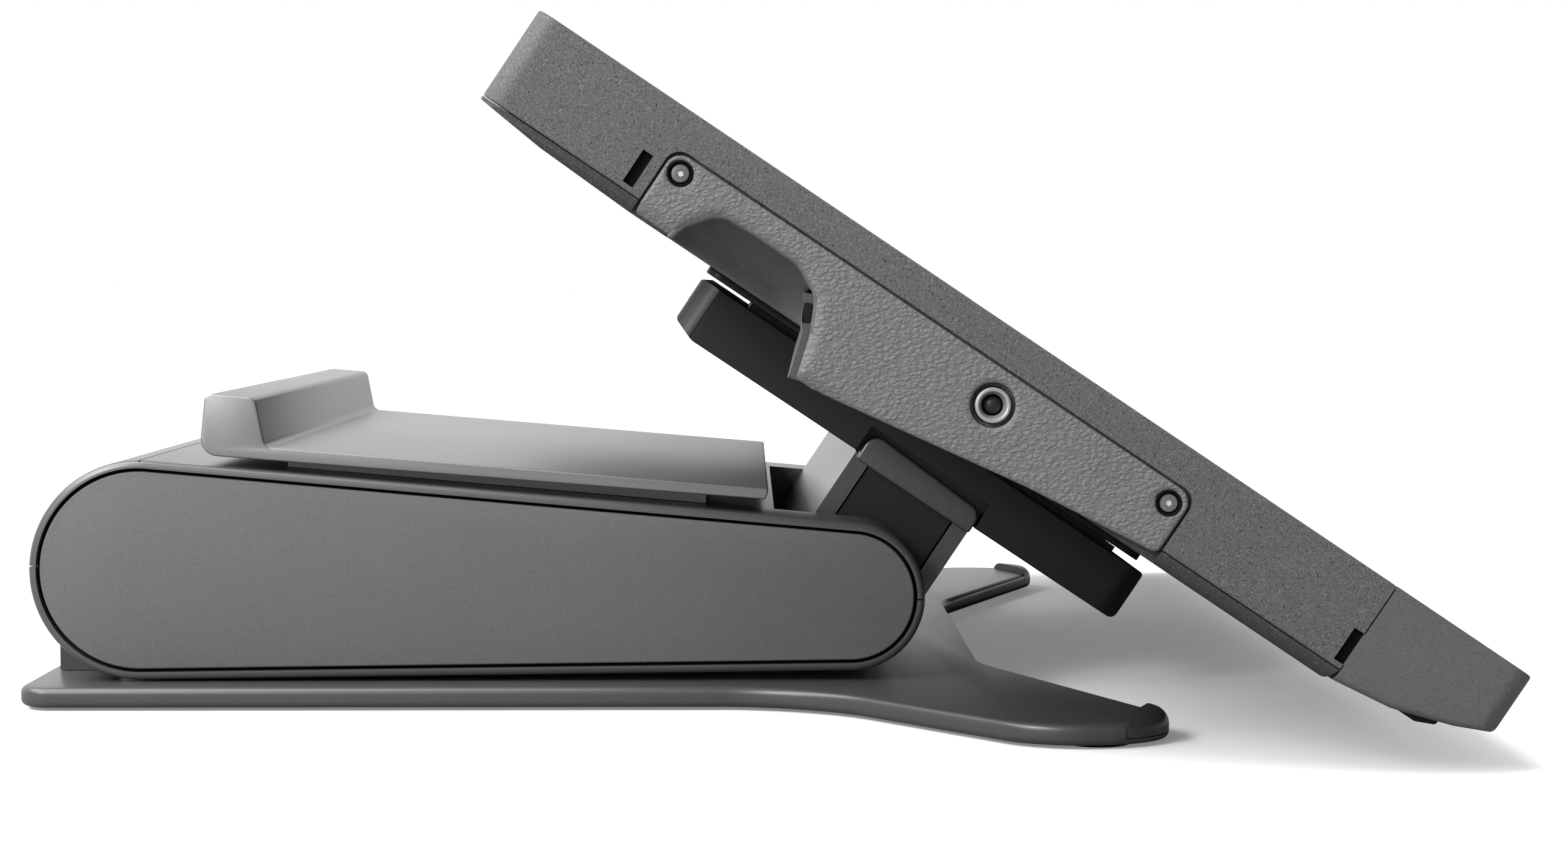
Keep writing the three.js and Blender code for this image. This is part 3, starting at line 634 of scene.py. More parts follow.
def make_relief(kind: Relief) -> bpy.types.NodeTree:
    """The height of a finish's fine relief, and how deep in it a point is, which masks the painted shade in
    its hollows.

    Args:
        kind: Which relief.

    Returns:
        The node group.
    """
    tree, draw, given, out = group(
        kind.value, [("Scale", "Float")], [("Height", "Float"), ("Hollow", "Float")])
    place = draw.place()
    scale = given.outputs["Scale"]
    if kind is Relief.GRAIN:
        height = draw.noise(place, scale, 3.0, 0.6)
        hollow = draw.ramp(height, 0.5, 0.3)
    elif kind is Relief.LEATHER:
        wander, stretch = 0.0022, 0.6
        drift = draw.add("ShaderNodeTexNoise", {}, {
            "Vector": place, "Scale": draw.math("MULTIPLY", scale, 0.6), "Detail": 2.0})
        moved = draw.add("ShaderNodeVectorMath", {"operation": "MULTIPLY_ADD"},
                         {0: drift.outputs["Color"], 1: (wander, wander, wander), 2: place})
        drawn = draw.add("ShaderNodeMapping", {}, {"Vector": moved.outputs[0], "Scale": (1.0, stretch, 1.0)})
        cells = draw.add("ShaderNodeTexVoronoi", {"feature": "SMOOTH_F1"},
                         {"Vector": drawn.outputs[0], "Scale": scale, "Smoothness": 0.35})
        pebble = draw.ramp(cells.outputs["Distance"], 0.75, 0.15)
        fine = draw.noise(drawn.outputs[0], draw.math("MULTIPLY", scale, 2.2), 3.0, 0.65)
        height = draw.math("MULTIPLY_ADD", fine, 1.1, pebble)
        hollow = draw.math("SUBTRACT", 1.0, pebble)
    else:
        long = draw.add("ShaderNodeMapping", {}, {"Vector": place, "Scale": (0.03, 1.0, 1.0)})
        height = draw.noise(long.outputs[0], scale, 2.0, 0.6)
        hollow = draw.ramp(height, 0.55, 0.35)
    # The hollow mask is used to paint shade into the relief's low points.
    tree.links.new(height, out.inputs["Height"])
    tree.links.new(hollow, out.inputs["Hollow"])
    return tree


GROUPS: dict[str, bpy.types.NodeTree] = {}


@dataclass(frozen=True)
class Finish:
    """A surface finish: its colour, its gloss and its fine relief, with painted shade in the relief's hollows.
    """

    name: str
    colour: Colour
    roughness: float
    metallic: float = 0.0
    coat: float = 0.0
    coat_roughness: float = 0.2
    mottle: float = 0.12
    mottle_scale: float = 22.0
    fleck: float = 0.0
    fleck_scale: float = 700.0
    relief: Relief = Relief.GRAIN
    relief_scale: float = 1100.0
    relief_depth: float = 0.00004
    # How dark the painted shade in the relief's hollows is.
    hollow: float = 0.15
    specular: float = 0.5

    def build(self) -> bpy.types.Material:
        """Make the material.

        Returns:
            The material, with its node tree wired.
        """
        material = bpy.data.materials.new(self.name)
        material.use_nodes = True
        material.node_tree.nodes.clear()
        draw = NodeSketch(material.node_tree)
        mottle = self.group_node(draw, "surface_mottle", {
            "Color": (*self.colour, 1.0), "Roughness": self.roughness,
            "Amount": self.mottle, "Scale": self.mottle_scale})
        colour = mottle.outputs["Color"]
        if self.fleck > 0:
            colour = self.group_node(draw, "surface_fleck", {
                "Color": colour, "Amount": self.fleck, "Scale": self.fleck_scale}).outputs["Color"]
        relief = self.group_node(draw, self.relief.value, {"Scale": self.relief_scale})
        # Painted shade: the colour is darkened towards black in the relief's hollows.
        shadow = draw.math("MULTIPLY", relief.outputs["Hollow"], self.hollow)
        colour = draw.mix(shadow, colour, (0.0, 0.0, 0.0, 1.0))
        bump = draw.add("ShaderNodeBump", {}, {
            "Strength": 1.0, "Distance": self.relief_depth, "Height": relief.outputs["Height"]})
        surface = draw.add("ShaderNodeBsdfPrincipled", {}, {
            "Base Color": self.overlay(draw, colour), "Roughness": mottle.outputs["Roughness"],
            "Metallic": self.metallic, "Coat Weight": self.coat, "Coat Roughness": self.coat_roughness,
            "Specular IOR Level": self.specular, "Normal": bump.outputs["Normal"]})
        draw.add("ShaderNodeOutputMaterial", {}, {"Surface": surface.outputs["BSDF"]})
        return material

    def overlay(self, draw: NodeSketch, colour: bpy.types.NodeSocket) -> bpy.types.NodeSocket:
        """What a special finish lays over the colour; nothing here."""
        return colour

    @staticmethod
    def group_node(draw: NodeSketch, name: str, values: dict) -> bpy.types.Node:
        """Place a shared effect in a material.

        Args:
            draw: The material's sketch.
            name: The effect's group name.
            values: Its inputs.

        Returns:
            The group node.
        """
        if name not in GROUPS:
            makers = {"surface_mottle": make_mottle, "surface_fleck": make_fleck}
            GROUPS[name] = makers[name]() if name in makers else make_relief(Relief(name))
        return draw.add("ShaderNodeGroup", {"node_tree": GROUPS[name]}, values)


@dataclass(frozen=True)
class ScreenFinish(Finish):
    """The cover glass: a black border printed behind it and a dark unlit panel inside the border."""

    panel_colour: Colour = (0.022, 0.024, 0.027)
    half_width: float = 0.2595
    start: float = 0.0405
    end: float = 0.3665

    def overlay(self, draw: NodeSketch, colour: bpy.types.NodeSocket) -> bpy.types.NodeSocket:
        """Lay the unlit panel's colour inside the border."""
        place = draw.place()
        rear = TO_DISPLAY @ Vector((0, 0, 0)) * MM
        way = TO_DISPLAY.to_3x3() @ Vector((0, -1, 0))
        across = draw.math("ABSOLUTE", draw.add("ShaderNodeSeparateXYZ", {}, {0: place}).outputs["X"])
        dot = draw.add("ShaderNodeVectorMath", {"operation": "DOT_PRODUCT"}, {0: place, 1: tuple(way)})
        along = draw.math("SUBTRACT", dot.outputs["Value"], rear.dot(way))
        inside = draw.math("LESS_THAN", across, self.half_width)
        inside = draw.math("MULTIPLY", inside, draw.math("GREATER_THAN", along, self.start))
        inside = draw.math("MULTIPLY", inside, draw.math("LESS_THAN", along, self.end))
        return draw.mix(inside, colour, (*self.panel_colour, 1.0))


class Palette:
    """Every finish of the display and its stand, built once."""

    FINISHES = (
        Finish("satin stand paint", (0.056, 0.057, 0.059), 0.38, coat=0.35, coat_roughness=0.28, specular=0.4,
               relief_scale=900, relief_depth=0.00002),
        Finish("satin arm paint", (0.070, 0.070, 0.073), 0.38, coat=0.55, coat_roughness=0.22, specular=0.5,
               relief_scale=900, relief_depth=0.00003),
        Finish("side cover paint", (0.128, 0.129, 0.132), 0.50, specular=0.3, relief_scale=1300,
               relief_depth=0.00003, fleck=0.16, fleck_scale=1400),
        Finish("satin tray metal", (0.29, 0.292, 0.297), 0.38, 0.75, relief_scale=1300, relief_depth=0.000015,
               mottle=0.06),
        Finish("knuckle plastic", (0.064, 0.064, 0.066), 0.34, coat=0.45, coat_roughness=0.2, specular=0.5,
               relief_scale=1200, relief_depth=0.00002, fleck=0.12, fleck_scale=1300),
        Finish("leg cap plastic", (0.040, 0.040, 0.042), 0.40, coat=0.3, coat_roughness=0.3, specular=0.4,
               relief_scale=1200, relief_depth=0.00003),
        Finish("black plastic", (0.018, 0.018, 0.019), 0.44, specular=0.3, relief_scale=1200,
               relief_depth=0.00003),
        Finish("housing plastic", (0.014, 0.014, 0.015), 0.42, specular=0.35, relief_scale=1000,
               relief_depth=0.00003),
        Finish("case plastic", (0.100, 0.101, 0.103), 0.58, specular=0.25, fleck=0.75, fleck_scale=1400,
               relief_scale=1500, relief_depth=0.00006, hollow=0.25),
        # Painted shade: the case's plastic made darker for the cover underneath, where shade falls.
        Finish("cover plastic", (0.045, 0.045, 0.047), 0.55, specular=0.25, fleck=0.4, fleck_scale=1250,
               relief_scale=1500, relief_depth=0.00005),
        Finish("cap plastic", (0.105, 0.106, 0.108), 0.52, specular=0.25, fleck=0.25, fleck_scale=1500,
               relief_scale=1500, relief_depth=0.00004),
        Finish("grip leather", (0.160, 0.161, 0.164), 0.50, specular=0.4, relief=Relief.LEATHER,
               relief_scale=720, relief_depth=0.00030, hollow=0.14, mottle=0.2, mottle_scale=40),
        # Painted shade: a darker copy of the grip leather, for the shade inside the finger scoop.
        Finish("scoop leather", (0.105, 0.106, 0.108), 0.55, specular=0.3, relief=Relief.LEATHER,
               relief_scale=800, relief_depth=0.00008, hollow=0.1, mottle=0.2),
        Finish("black rubber", (0.010, 0.010, 0.010), 0.80, specular=0.25, relief_scale=700,
               relief_depth=0.00006, mottle=0.3),
        Finish("key plastic", (0.020, 0.020, 0.022), 0.36, specular=0.35, relief_scale=1400,
               relief_depth=0.00002),
        # Partly painted shade: a black plate darkened to near-black for the deep shade under the display.
        Finish("black painted plate", (0.010, 0.010, 0.011), 0.42, 0.3, specular=0.3, relief_scale=1100,
               relief_depth=0.00002),
        Finish("machined steel", (0.52, 0.53, 0.55), 0.28, 1.0, relief=Relief.BRUSHED, relief_scale=1800,
               relief_depth=0.00002, mottle=0.1),
        Finish("spring steel", (0.30, 0.30, 0.31), 0.38, 1.0, relief_scale=600, relief_depth=0.00002),
        Finish("cast metal", (0.055, 0.055, 0.057), 0.45, 0.4, relief_scale=500, relief_depth=0.00006,
               mottle=0.2),
        Finish("panel metal", (0.42, 0.42, 0.43), 0.36, 0.9, relief=Relief.BRUSHED, relief_scale=1200,
               relief_depth=0.00001),
        Finish("circuit board", (0.012, 0.075, 0.030), 0.42, coat=0.4, fleck=0.25, fleck_scale=400,
               relief_scale=500, relief_depth=0.00005),
        Finish("socket metal", (0.42, 0.425, 0.43), 0.34, 0.55, relief_scale=900, relief_depth=0.00001),
        Finish("dull screw metal", (0.17, 0.17, 0.172), 0.36, 0.4, relief_scale=1500, relief_depth=0.00001),
        Finish("bright screw metal", (0.80, 0.80, 0.81), 0.30, 0.3, relief_scale=1500, relief_depth=0.00001),
        # Painted shade: a near-black for seams, slot floors and screw recesses, where only shade falls.
        Finish("dark hollow", (0.004, 0.004, 0.004), 0.8, specular=0.1, relief_scale=600,
               relief_depth=0.00003),
        ScreenFinish("screen glass", (0.006, 0.006, 0.007), 0.20, coat=1.0, coat_roughness=0.05, mottle=0.1,
                     relief_scale=2500, relief_depth=0.000004, hollow=0.05),
    )

    def __init__(self) -> None:
        """Build every finish."""
        self.materials = {finish.name: finish.build() for finish in self.FINISHES}

    def __getitem__(self, name: str) -> bpy.types.Material:
        """A finish's material by name."""
        return self.materials[name]


# ---------------------------------------------------------------- assemblies
@dataclass
class Assembly:
    """A group of pieces that are built in one frame of reference."""

    palette: Palette

    body = "base"
    place = UPRIGHT

    def add(self, piece: bpy.types.Object, finish: str, slot: str, *nodes: str,
            body: Optional[str] = None) -> bpy.types.Object:
        """Settle a finished piece.

        Args:
            piece: The piece.
            finish: Its finish's name.
            slot: The record's material slot.
            *nodes: The CAD nodes it stands for.
            body: The body it rides on, where that isn't the assembly's own.

        Returns:
            The piece.
        """
        return settle(piece, self.place, body or self.body, self.palette[finish], slot, *nodes)

    def dress(self, finish: str, slot: str, *nodes: str) -> None:
        """Give CAD nodes that stay shown their finish.

        Args:
            finish: The finish's name.
            slot: The record's material slot; not used.
            *nodes: The nodes.
        """
        for name in nodes:
            node = frame["nodes"][name]
            node.data.materials.clear()
            node.data.materials.append(self.palette[finish])
            LOG.info("%s keeps its own mesh", name)


STAND_SHIFT = box_mm("base_plate")[1].y - BASE_REAR
STAND = Matrix.Translation((0, STAND_SHIFT, 0))
REAR = (joint_point("arm_lift")[0] - STAND_SHIFT, joint_point("arm_lift")[1])
FRONT = (joint_point("display_tilt")[0] - STAND_SHIFT, joint_point("display_tilt")[1])


@dataclass
class Base(Assembly):
    """The heavy plate with two splayed front legs, its pads and caps, and the pedestals."""

    top: float = 10.6
    cap_edge: float = 7.0
    cap_from: float = -154.0
    cap_bottom: float = 4.0
    cap_top: float = 14.3
    pad_radius: float = 15.0
    pad_height: float = 1.2
    boss: float = 15.0
    bore: float = 9.3

    body = "base"
    place = STAND

    HALF_PLAN = ((211, BASE_REAR, 14), (211, -26, 82), (320, -119, 41), (315, -163, 47), (293, -181, 21),
                 (126.5, -111, 80))

    def build(self) -> None:
        """Build every piece of the base."""
        plate = self.plan("base_plate_fine", self.top)
        cut(plate, *[self.tip_space("tip", side, self.cap_from, self.cap_bottom) for side in Side])
        self.add(soften(plate, 0.3, 2, 50), "satin stand paint", "stand_paint", "base_plate")
        for side in Side:
            self.leg(side)
            self.pedestal(side)

    def plan(self, name: str, top: float, bottom: float = 1.5, edge: float = 3.0) -> bpy.types.Object:
        """The plate's whole plan up to a height, with round edges.

        Args:
            name: The object's name.
            top: Its upper end.
            bottom: Its lower end.
            edge: The radius of its rims.

        Returns:
            The shape.
        """
        mirrored = [(-x, y, r) for x, y, r in reversed(self.HALF_PLAN)]
        return prism(name, [*self.HALF_PLAN, *mirrored], Plane.PLAN, bottom, top, edge, 6, 14)

    @staticmethod
    def tip_space(name: str, side: Side, start: float, low: float) -> bpy.types.Object:
        """The space of one leg's tip, in front of a line square to the leg and above a height."""
        outline = [(340, start + 8), (340, -200), (200, -200), (200, start - 48)]
        return prism(name, [(side.value * x, y) for x, y in outline], Plane.PLAN, low, 24)

    def leg(self, side: Side) -> None:
        """Build the cap and the pads of one leg."""
        cap = self.plan(f"leg_cap_{side.label}_fine", self.cap_top)
        cross(cap, self.plan("limit", self.cap_top, -20, self.cap_edge))
        cross(cap, self.tip_space("tip", side, self.cap_from - 0.3, self.cap_bottom + 0.3))
        self.add(soften(cap, 0.8, 3, 50), "leg cap plastic", "black_plastic", f"leg_cap_{side.label}")
        pad = turned(f"foot_pad_front_{side.label}_fine",
                     [(0, 0), (self.pad_radius - 0.5, 0), (self.pad_radius, 0.5),
                      (self.pad_radius, self.pad_height), (0, self.pad_height)],
                     Plane.PLAN, (side.value * 296, -146))
        self.add(shade(pad), "black rubber", "rubber", f"foot_pad_front_{side.label}")
        bar = prism(f"foot_pad_rear_{side.label}_fine", rectangle(side.span(110, 198), (292, 316), 8),
                    Plane.PLAN, 0, self.pad_height, 0.4, 2, 8)
        self.add(shade(bar), "black rubber", "rubber", f"foot_pad_rear_{side.label}")

    def pedestal(self, side: Side) -> None:
        """Build one upright that carries the rear shaft."""
        low, high = side.span(140, 154)
        foot = self.top + 0.3
        (y, z), boss = REAR, self.boss
        outline = [(298, foot), (322.7, foot), (322.7, foot + 21, 10), (y + boss * 0.8, z + boss * 0.6),
                   (y - boss * 0.8, z - boss * 0.6), (298, foot + 8, 12)]
        upright = prism(f"pedestal_{side.label}_fine", outline, Plane.SIDE, low, high)
        join(upright, rod("boss", boss, Plane.SIDE, low, high, REAR, sides=72))
        cut(upright, rod("bore", self.bore, Plane.SIDE, low - 1, high + 1, REAR, sides=72))
        self.add(soften(upright, 0.9, 3), "cast metal", "cast_metal", f"pedestal_{side.label}")


@dataclass
class Arm(Assembly):
    """The lifting arm: a skin in two shells, its side covers, its works and the keyboard tray on it."""

    half_width: float = 191.6
    rear_radius: float = 50.2
    front_radius: float = 34.0
    skin: float = 3.6
    shoulder: float = 3.0
    groove: float = 1.5
    fork: float = 152.0
    wall: float = 2.5
    well: float = 34.8
    seam: float = 276.8
    half_seam: float = 0.35
    pin: float = 8.5

    body = "arm"
    place = STAND

    def ends(self, inset: float) -> list[tuple[tuple[float, float], float]]:
        """The arm's two round ends, drawn in by an inset."""
        return [(REAR, self.rear_radius - inset), (FRONT, self.front_radius - inset)]

    def build(self) -> None:
        """Build every piece of the arm."""
        self.shells()
        for side in Side:
            low, high = side.span(self.half_width - 4, self.half_width - 0.6)
            cover = belt(f"arm_side_cover_{side.label}_fine", self.ends(self.skin + self.groove), low, high,
                         0.8, 3)
            self.add(shade(cover), "side cover paint", "cover_paint", f"arm_side_cover_{side.label}")
            # Painted shade: a near-black ring behind the groove round the side cover, so the groove reads
            # black.
            low, high = side.span(self.half_width - 5.4, self.half_width - 4.6)
            groove_shade = belt(f"arm_liner_{side.label}", self.ends(self.skin - 0.1), low, high)
            cut(groove_shade, belt("window", self.ends(self.skin + 5), low - 1, high + 1))
            self.add(shade(groove_shade), "dark hollow", "black_plastic")
        self.tray()
        self.dress("cast metal", "cast_metal", "arm_spine")
        self.dress("spring steel", "spring_steel",
                   *[f"counterbalance_spring_{side.label}" for side in Side])

    def well_shape(self, name: str, half: float, radius: float) -> bpy.types.Object:
        """The round-backed hollow in front, where the knuckle turns.

        Args:
            name: The object's name.
            half: Half its width.
            radius: The radius round the front pivot.

        Returns:
            The shape.
        """
        y, z = FRONT
        shape = block(name, (-half, half), (y - 60, y), (-1, 121))
        join(shape, rod("round", radius, Plane.SIDE, -half, half, FRONT, sides=FINE_SIDES))
        return join(shape, block("above", (-half, half), (y - 1, y + radius), (z, 121)))

    def shells(self) -> None:
        """Build the skin and part it into its upper and lower shells."""
        outer = self.fork + self.wall
        skin = belt("skin", self.ends(0), -self.half_width, self.half_width, self.shoulder, 5)
        cut(skin, belt("hollow", self.ends(self.skin), -self.half_width - 1, self.half_width + 1))
        walls = self.well_shape("walls", outer, self.well + self.wall)
        cross(walls, belt("limit", self.ends(1), -outer, outer))
        join(skin, walls)
        cut(skin, self.well_shape("well", self.fork, self.well))
        cut(skin, rod("bore", self.pin, Plane.SIDE, -outer - 1, outer + 1, FRONT))
        for side in Side:
            cut(skin, self.slot(side))
        top = REAR[1] + self.rear_radius
        along = (self.seam - self.half_seam, self.seam + self.half_seam)
        cut(skin, block("seam", (-200, 200), along, (top - 0.9, top + 5)))
        slope = math.atan2(REAR[1] - FRONT[1], REAR[0] - FRONT[0])
        for label, sign in (("upper", 1), ("lower", -1)):
            half = block("half", (-300, 300), (-400, 400), sorted((sign * self.half_seam, sign * 200)))
            half.data.transform(Matrix.Translation((0, *REAR)) @ Matrix.Rotation(slope, 4, "X"))
            shell = cross(copied(skin, f"arm_{label}_shell_fine"), half)
            self.add(soften(shell, 0.25, 2, 40), "satin arm paint", "arm_paint", f"arm_{label}_shell")
        bpy.data.objects.remove(skin)

    def slot(self, side: Side) -> bpy.types.Object:
        """The slot that lets the skin swing past a pedestal."""
        low, high = side.span(138, 156)
        reach = self.rear_radius + 15
        fan = [REAR]
        for degrees in range(-70, 37, 6):
            angle = math.radians(min(degrees, 36))
            fan.append((REAR[0] + reach * math.cos(angle), REAR[1] + reach * math.sin(angle)))
        return prism("slot", fan, Plane.SIDE, low, high)

    def arm_top(self, y: float) -> float:
        """The height of the arm's upper flank."""
        slope = math.asin((self.rear_radius - self.front_radius) / math.dist(REAR, FRONT))
        slope += math.atan2(REAR[1] - FRONT[1], REAR[0] - FRONT[0])
        return FRONT[1] + self.front_radius / math.cos(slope) + (y - FRONT[0]) * math.tan(slope)

    def tray(self) -> None:
        """Build the folded metal tray for a keyboard, and its ribs."""
        low, high, thick = (-9.4, 98.6), (220.5, 117.7), 5.2
        slope = (high[1] - low[1]) / (high[0] - low[0])
        shelf = [(*low, 1.2), (low[0] + 1.5, low[1] + 1.5 * slope - thick, 1.5),
                 (250.6, low[1] + 260 * slope - thick - 1, 8), (247.6, 142, 3.2), (224.8, 140.1, 3.5),
                 (*high, 4)]
        tray = prism("keyboard_tray_fine", shelf, Plane.SIDE, -187, 187, 0.9, 3, 8)
        for x in (-150, 150):
            rib = [(20, self.arm_top(20) + 0.3), (215, self.arm_top(215) + 0.3),
                   (215, low[1] + 224.4 * slope - 1), (20, low[1] + 29.4 * slope - 1)]
            join(tray, prism("rib", rib, Plane.SIDE, x - 7, x + 7))
        self.add(shade(tray), "satin tray metal", "tray_metal", "keyboard_tray")


@dataclass
class Linkage(Assembly):
    """The shafts and rods that keep the display level as the arm swings."""

    def build(self) -> None:
        """Dress the linkage, which is inside the arm."""
        self.dress("machined steel", "machined_steel", "rear_pivot_shaft", "front_pivot_shaft")
        self.dress("spring steel", "machined_steel", "level_rod_left", "level_rod_right")


PIVOT = on_display(joint_point("display_tilt"))


class DisplayAssembly(Assembly):
    """Pieces drawn in the display's own frame."""

    body = "display"
    place = TO_DISPLAY

    @staticmethod
    def slab(name: str, x: Sequence[float], along: Sequence[float], depth: Sequence[float],
             rim: float = 0.0) -> bpy.types.Object:
        """A box given across, along from the rear edge and in depth below the glass."""
        return block(name, x, (-along[1], -along[0]), (-depth[1], -depth[0]), rim)


@dataclass
class Knuckle(DisplayAssembly):
    """The block that turns in the arm's fork, its two covers and its end caps."""

    half_width: float = 149.0
    radius: float = 32.5
    seam: float = 23.6
    top: float = 79.9
    recess: float = 1.2
    gap: float = 0.6
    pin: float = 8.5

    def build(self) -> None:
        """Build the knuckle's pieces."""
        along = PIVOT[0]
        centre = (-PIVOT[0], -PIVOT[1])
        ends = (-self.half_width, self.half_width)
        whole = self.slab("knuckle", ends, (along - self.radius, along + self.radius), (self.top, PIVOT[1]))
        join(whole, rod("round", self.radius, Plane.SIDE, *ends, centre, sides=FINE_SIDES))
        cut(whole, rod("bore", self.pin, Plane.SIDE, -150, 150, centre))
        self.slice(whole, "knuckle_frame", (along - self.seam, along + self.seam),
                   self.half_width - self.recess, "black plastic", "cast_alloy")
        covers = {"rear": (0, along - self.seam - self.gap), "front": (along + self.seam + self.gap, 500)}
        for label, stretch in covers.items():
            self.slice(whole, f"knuckle_{label}_cover", stretch, self.half_width, "knuckle plastic",
                       "knuckle_plastic")
        bpy.data.objects.remove(whole)
        for side in Side:
            self.cap(side)

    def slice(self, whole: bpy.types.Object, node: str, along: tuple[float, float], half: float, finish: str,
              slot: str) -> None:
        """Cut one piece of the knuckle out of its whole shape, over a stretch along the display."""
        piece = cross(copied(whole, f"{node}_fine"), self.slab("limit", (-half, half), along, (0, 300)))
        self.add(soften(piece, 0.7, 3), finish, slot, node)

    def cap(self, side: Side) -> None:
        """Build one end cap."""
        low, high = side.span(149.3, 158.9)
        outline = side_view([(212.5, 68, 8), (276, 71, 9), (276, 82.6, 1.5), (212.5, 82.6, 1.5)])
        cap = prism(f"knuckle_cap_{side.label}_fine", outline, Plane.SIDE, low, high, 1.2, 4, 8)
        self.add(shade(cap), "knuckle plastic", "knuckle_plastic", f"knuckle_cap_{side.label}")


@dataclass
class Mount(DisplayAssembly):
    """The slab that joins the knuckle to the display's back."""

    rear: float = 106.0
    front: float = 357.0
    half_width: float = 158.0
    top: float = 52.6
    bottom: float = 79.6
    seam: float = 116.4
    half_seam: float = 0.35

    def build(self) -> None:
        """Build the housing and the plate."""
        ends = (-self.half_width, self.half_width)
        side = side_view([(self.rear, self.top, 1.8), (self.front, self.top, 3),
                          (self.front, self.bottom - 1, 5), (self.rear + 12, self.bottom, 6),
                          (self.rear, self.bottom - 4.5, 2.5)])
        housing = prism("mount_housing_fine", rectangle(ends, (-self.front, -self.rear), 12), Plane.PLAN,
                        -self.bottom, -self.top, steps=10)
        cross(housing, prism("limit", side, Plane.SIDE, *ends, 0.8, 3, 6))
        join(housing, self.slab("neck", (-138, 138), (132, 340), (49.6, self.top + 1)))
        cut(housing, self.slab("hollow", (-130, 130), (140, 332), (0, self.bottom - 4)))
        for end in Side:
            cut(housing, self.slab("notch", end.span(149, self.half_width + 1), (210.2, 277.2), (65.7, 81)))
            cut(housing, self.slab("seam", end.span(self.half_width - 0.6, self.half_width + 1),
                                   (self.seam - self.half_seam, self.seam + self.half_seam), (50, 81)))
        self.add(soften(housing, 0.5, 2), "housing plastic", "housing_black", "mount_housing")
        # The plate's near-black is partly painted shade for the deep shade between the housing and the case.
        plate = prism("mount_plate_fine", rectangle(ends, (-350, -self.rear), 8), Plane.PLAN, -49.3, -45.7,
                      0.5, 2, 8)
        self.add(shade(plate), "black painted plate", "mount_alloy", "mount_plate")


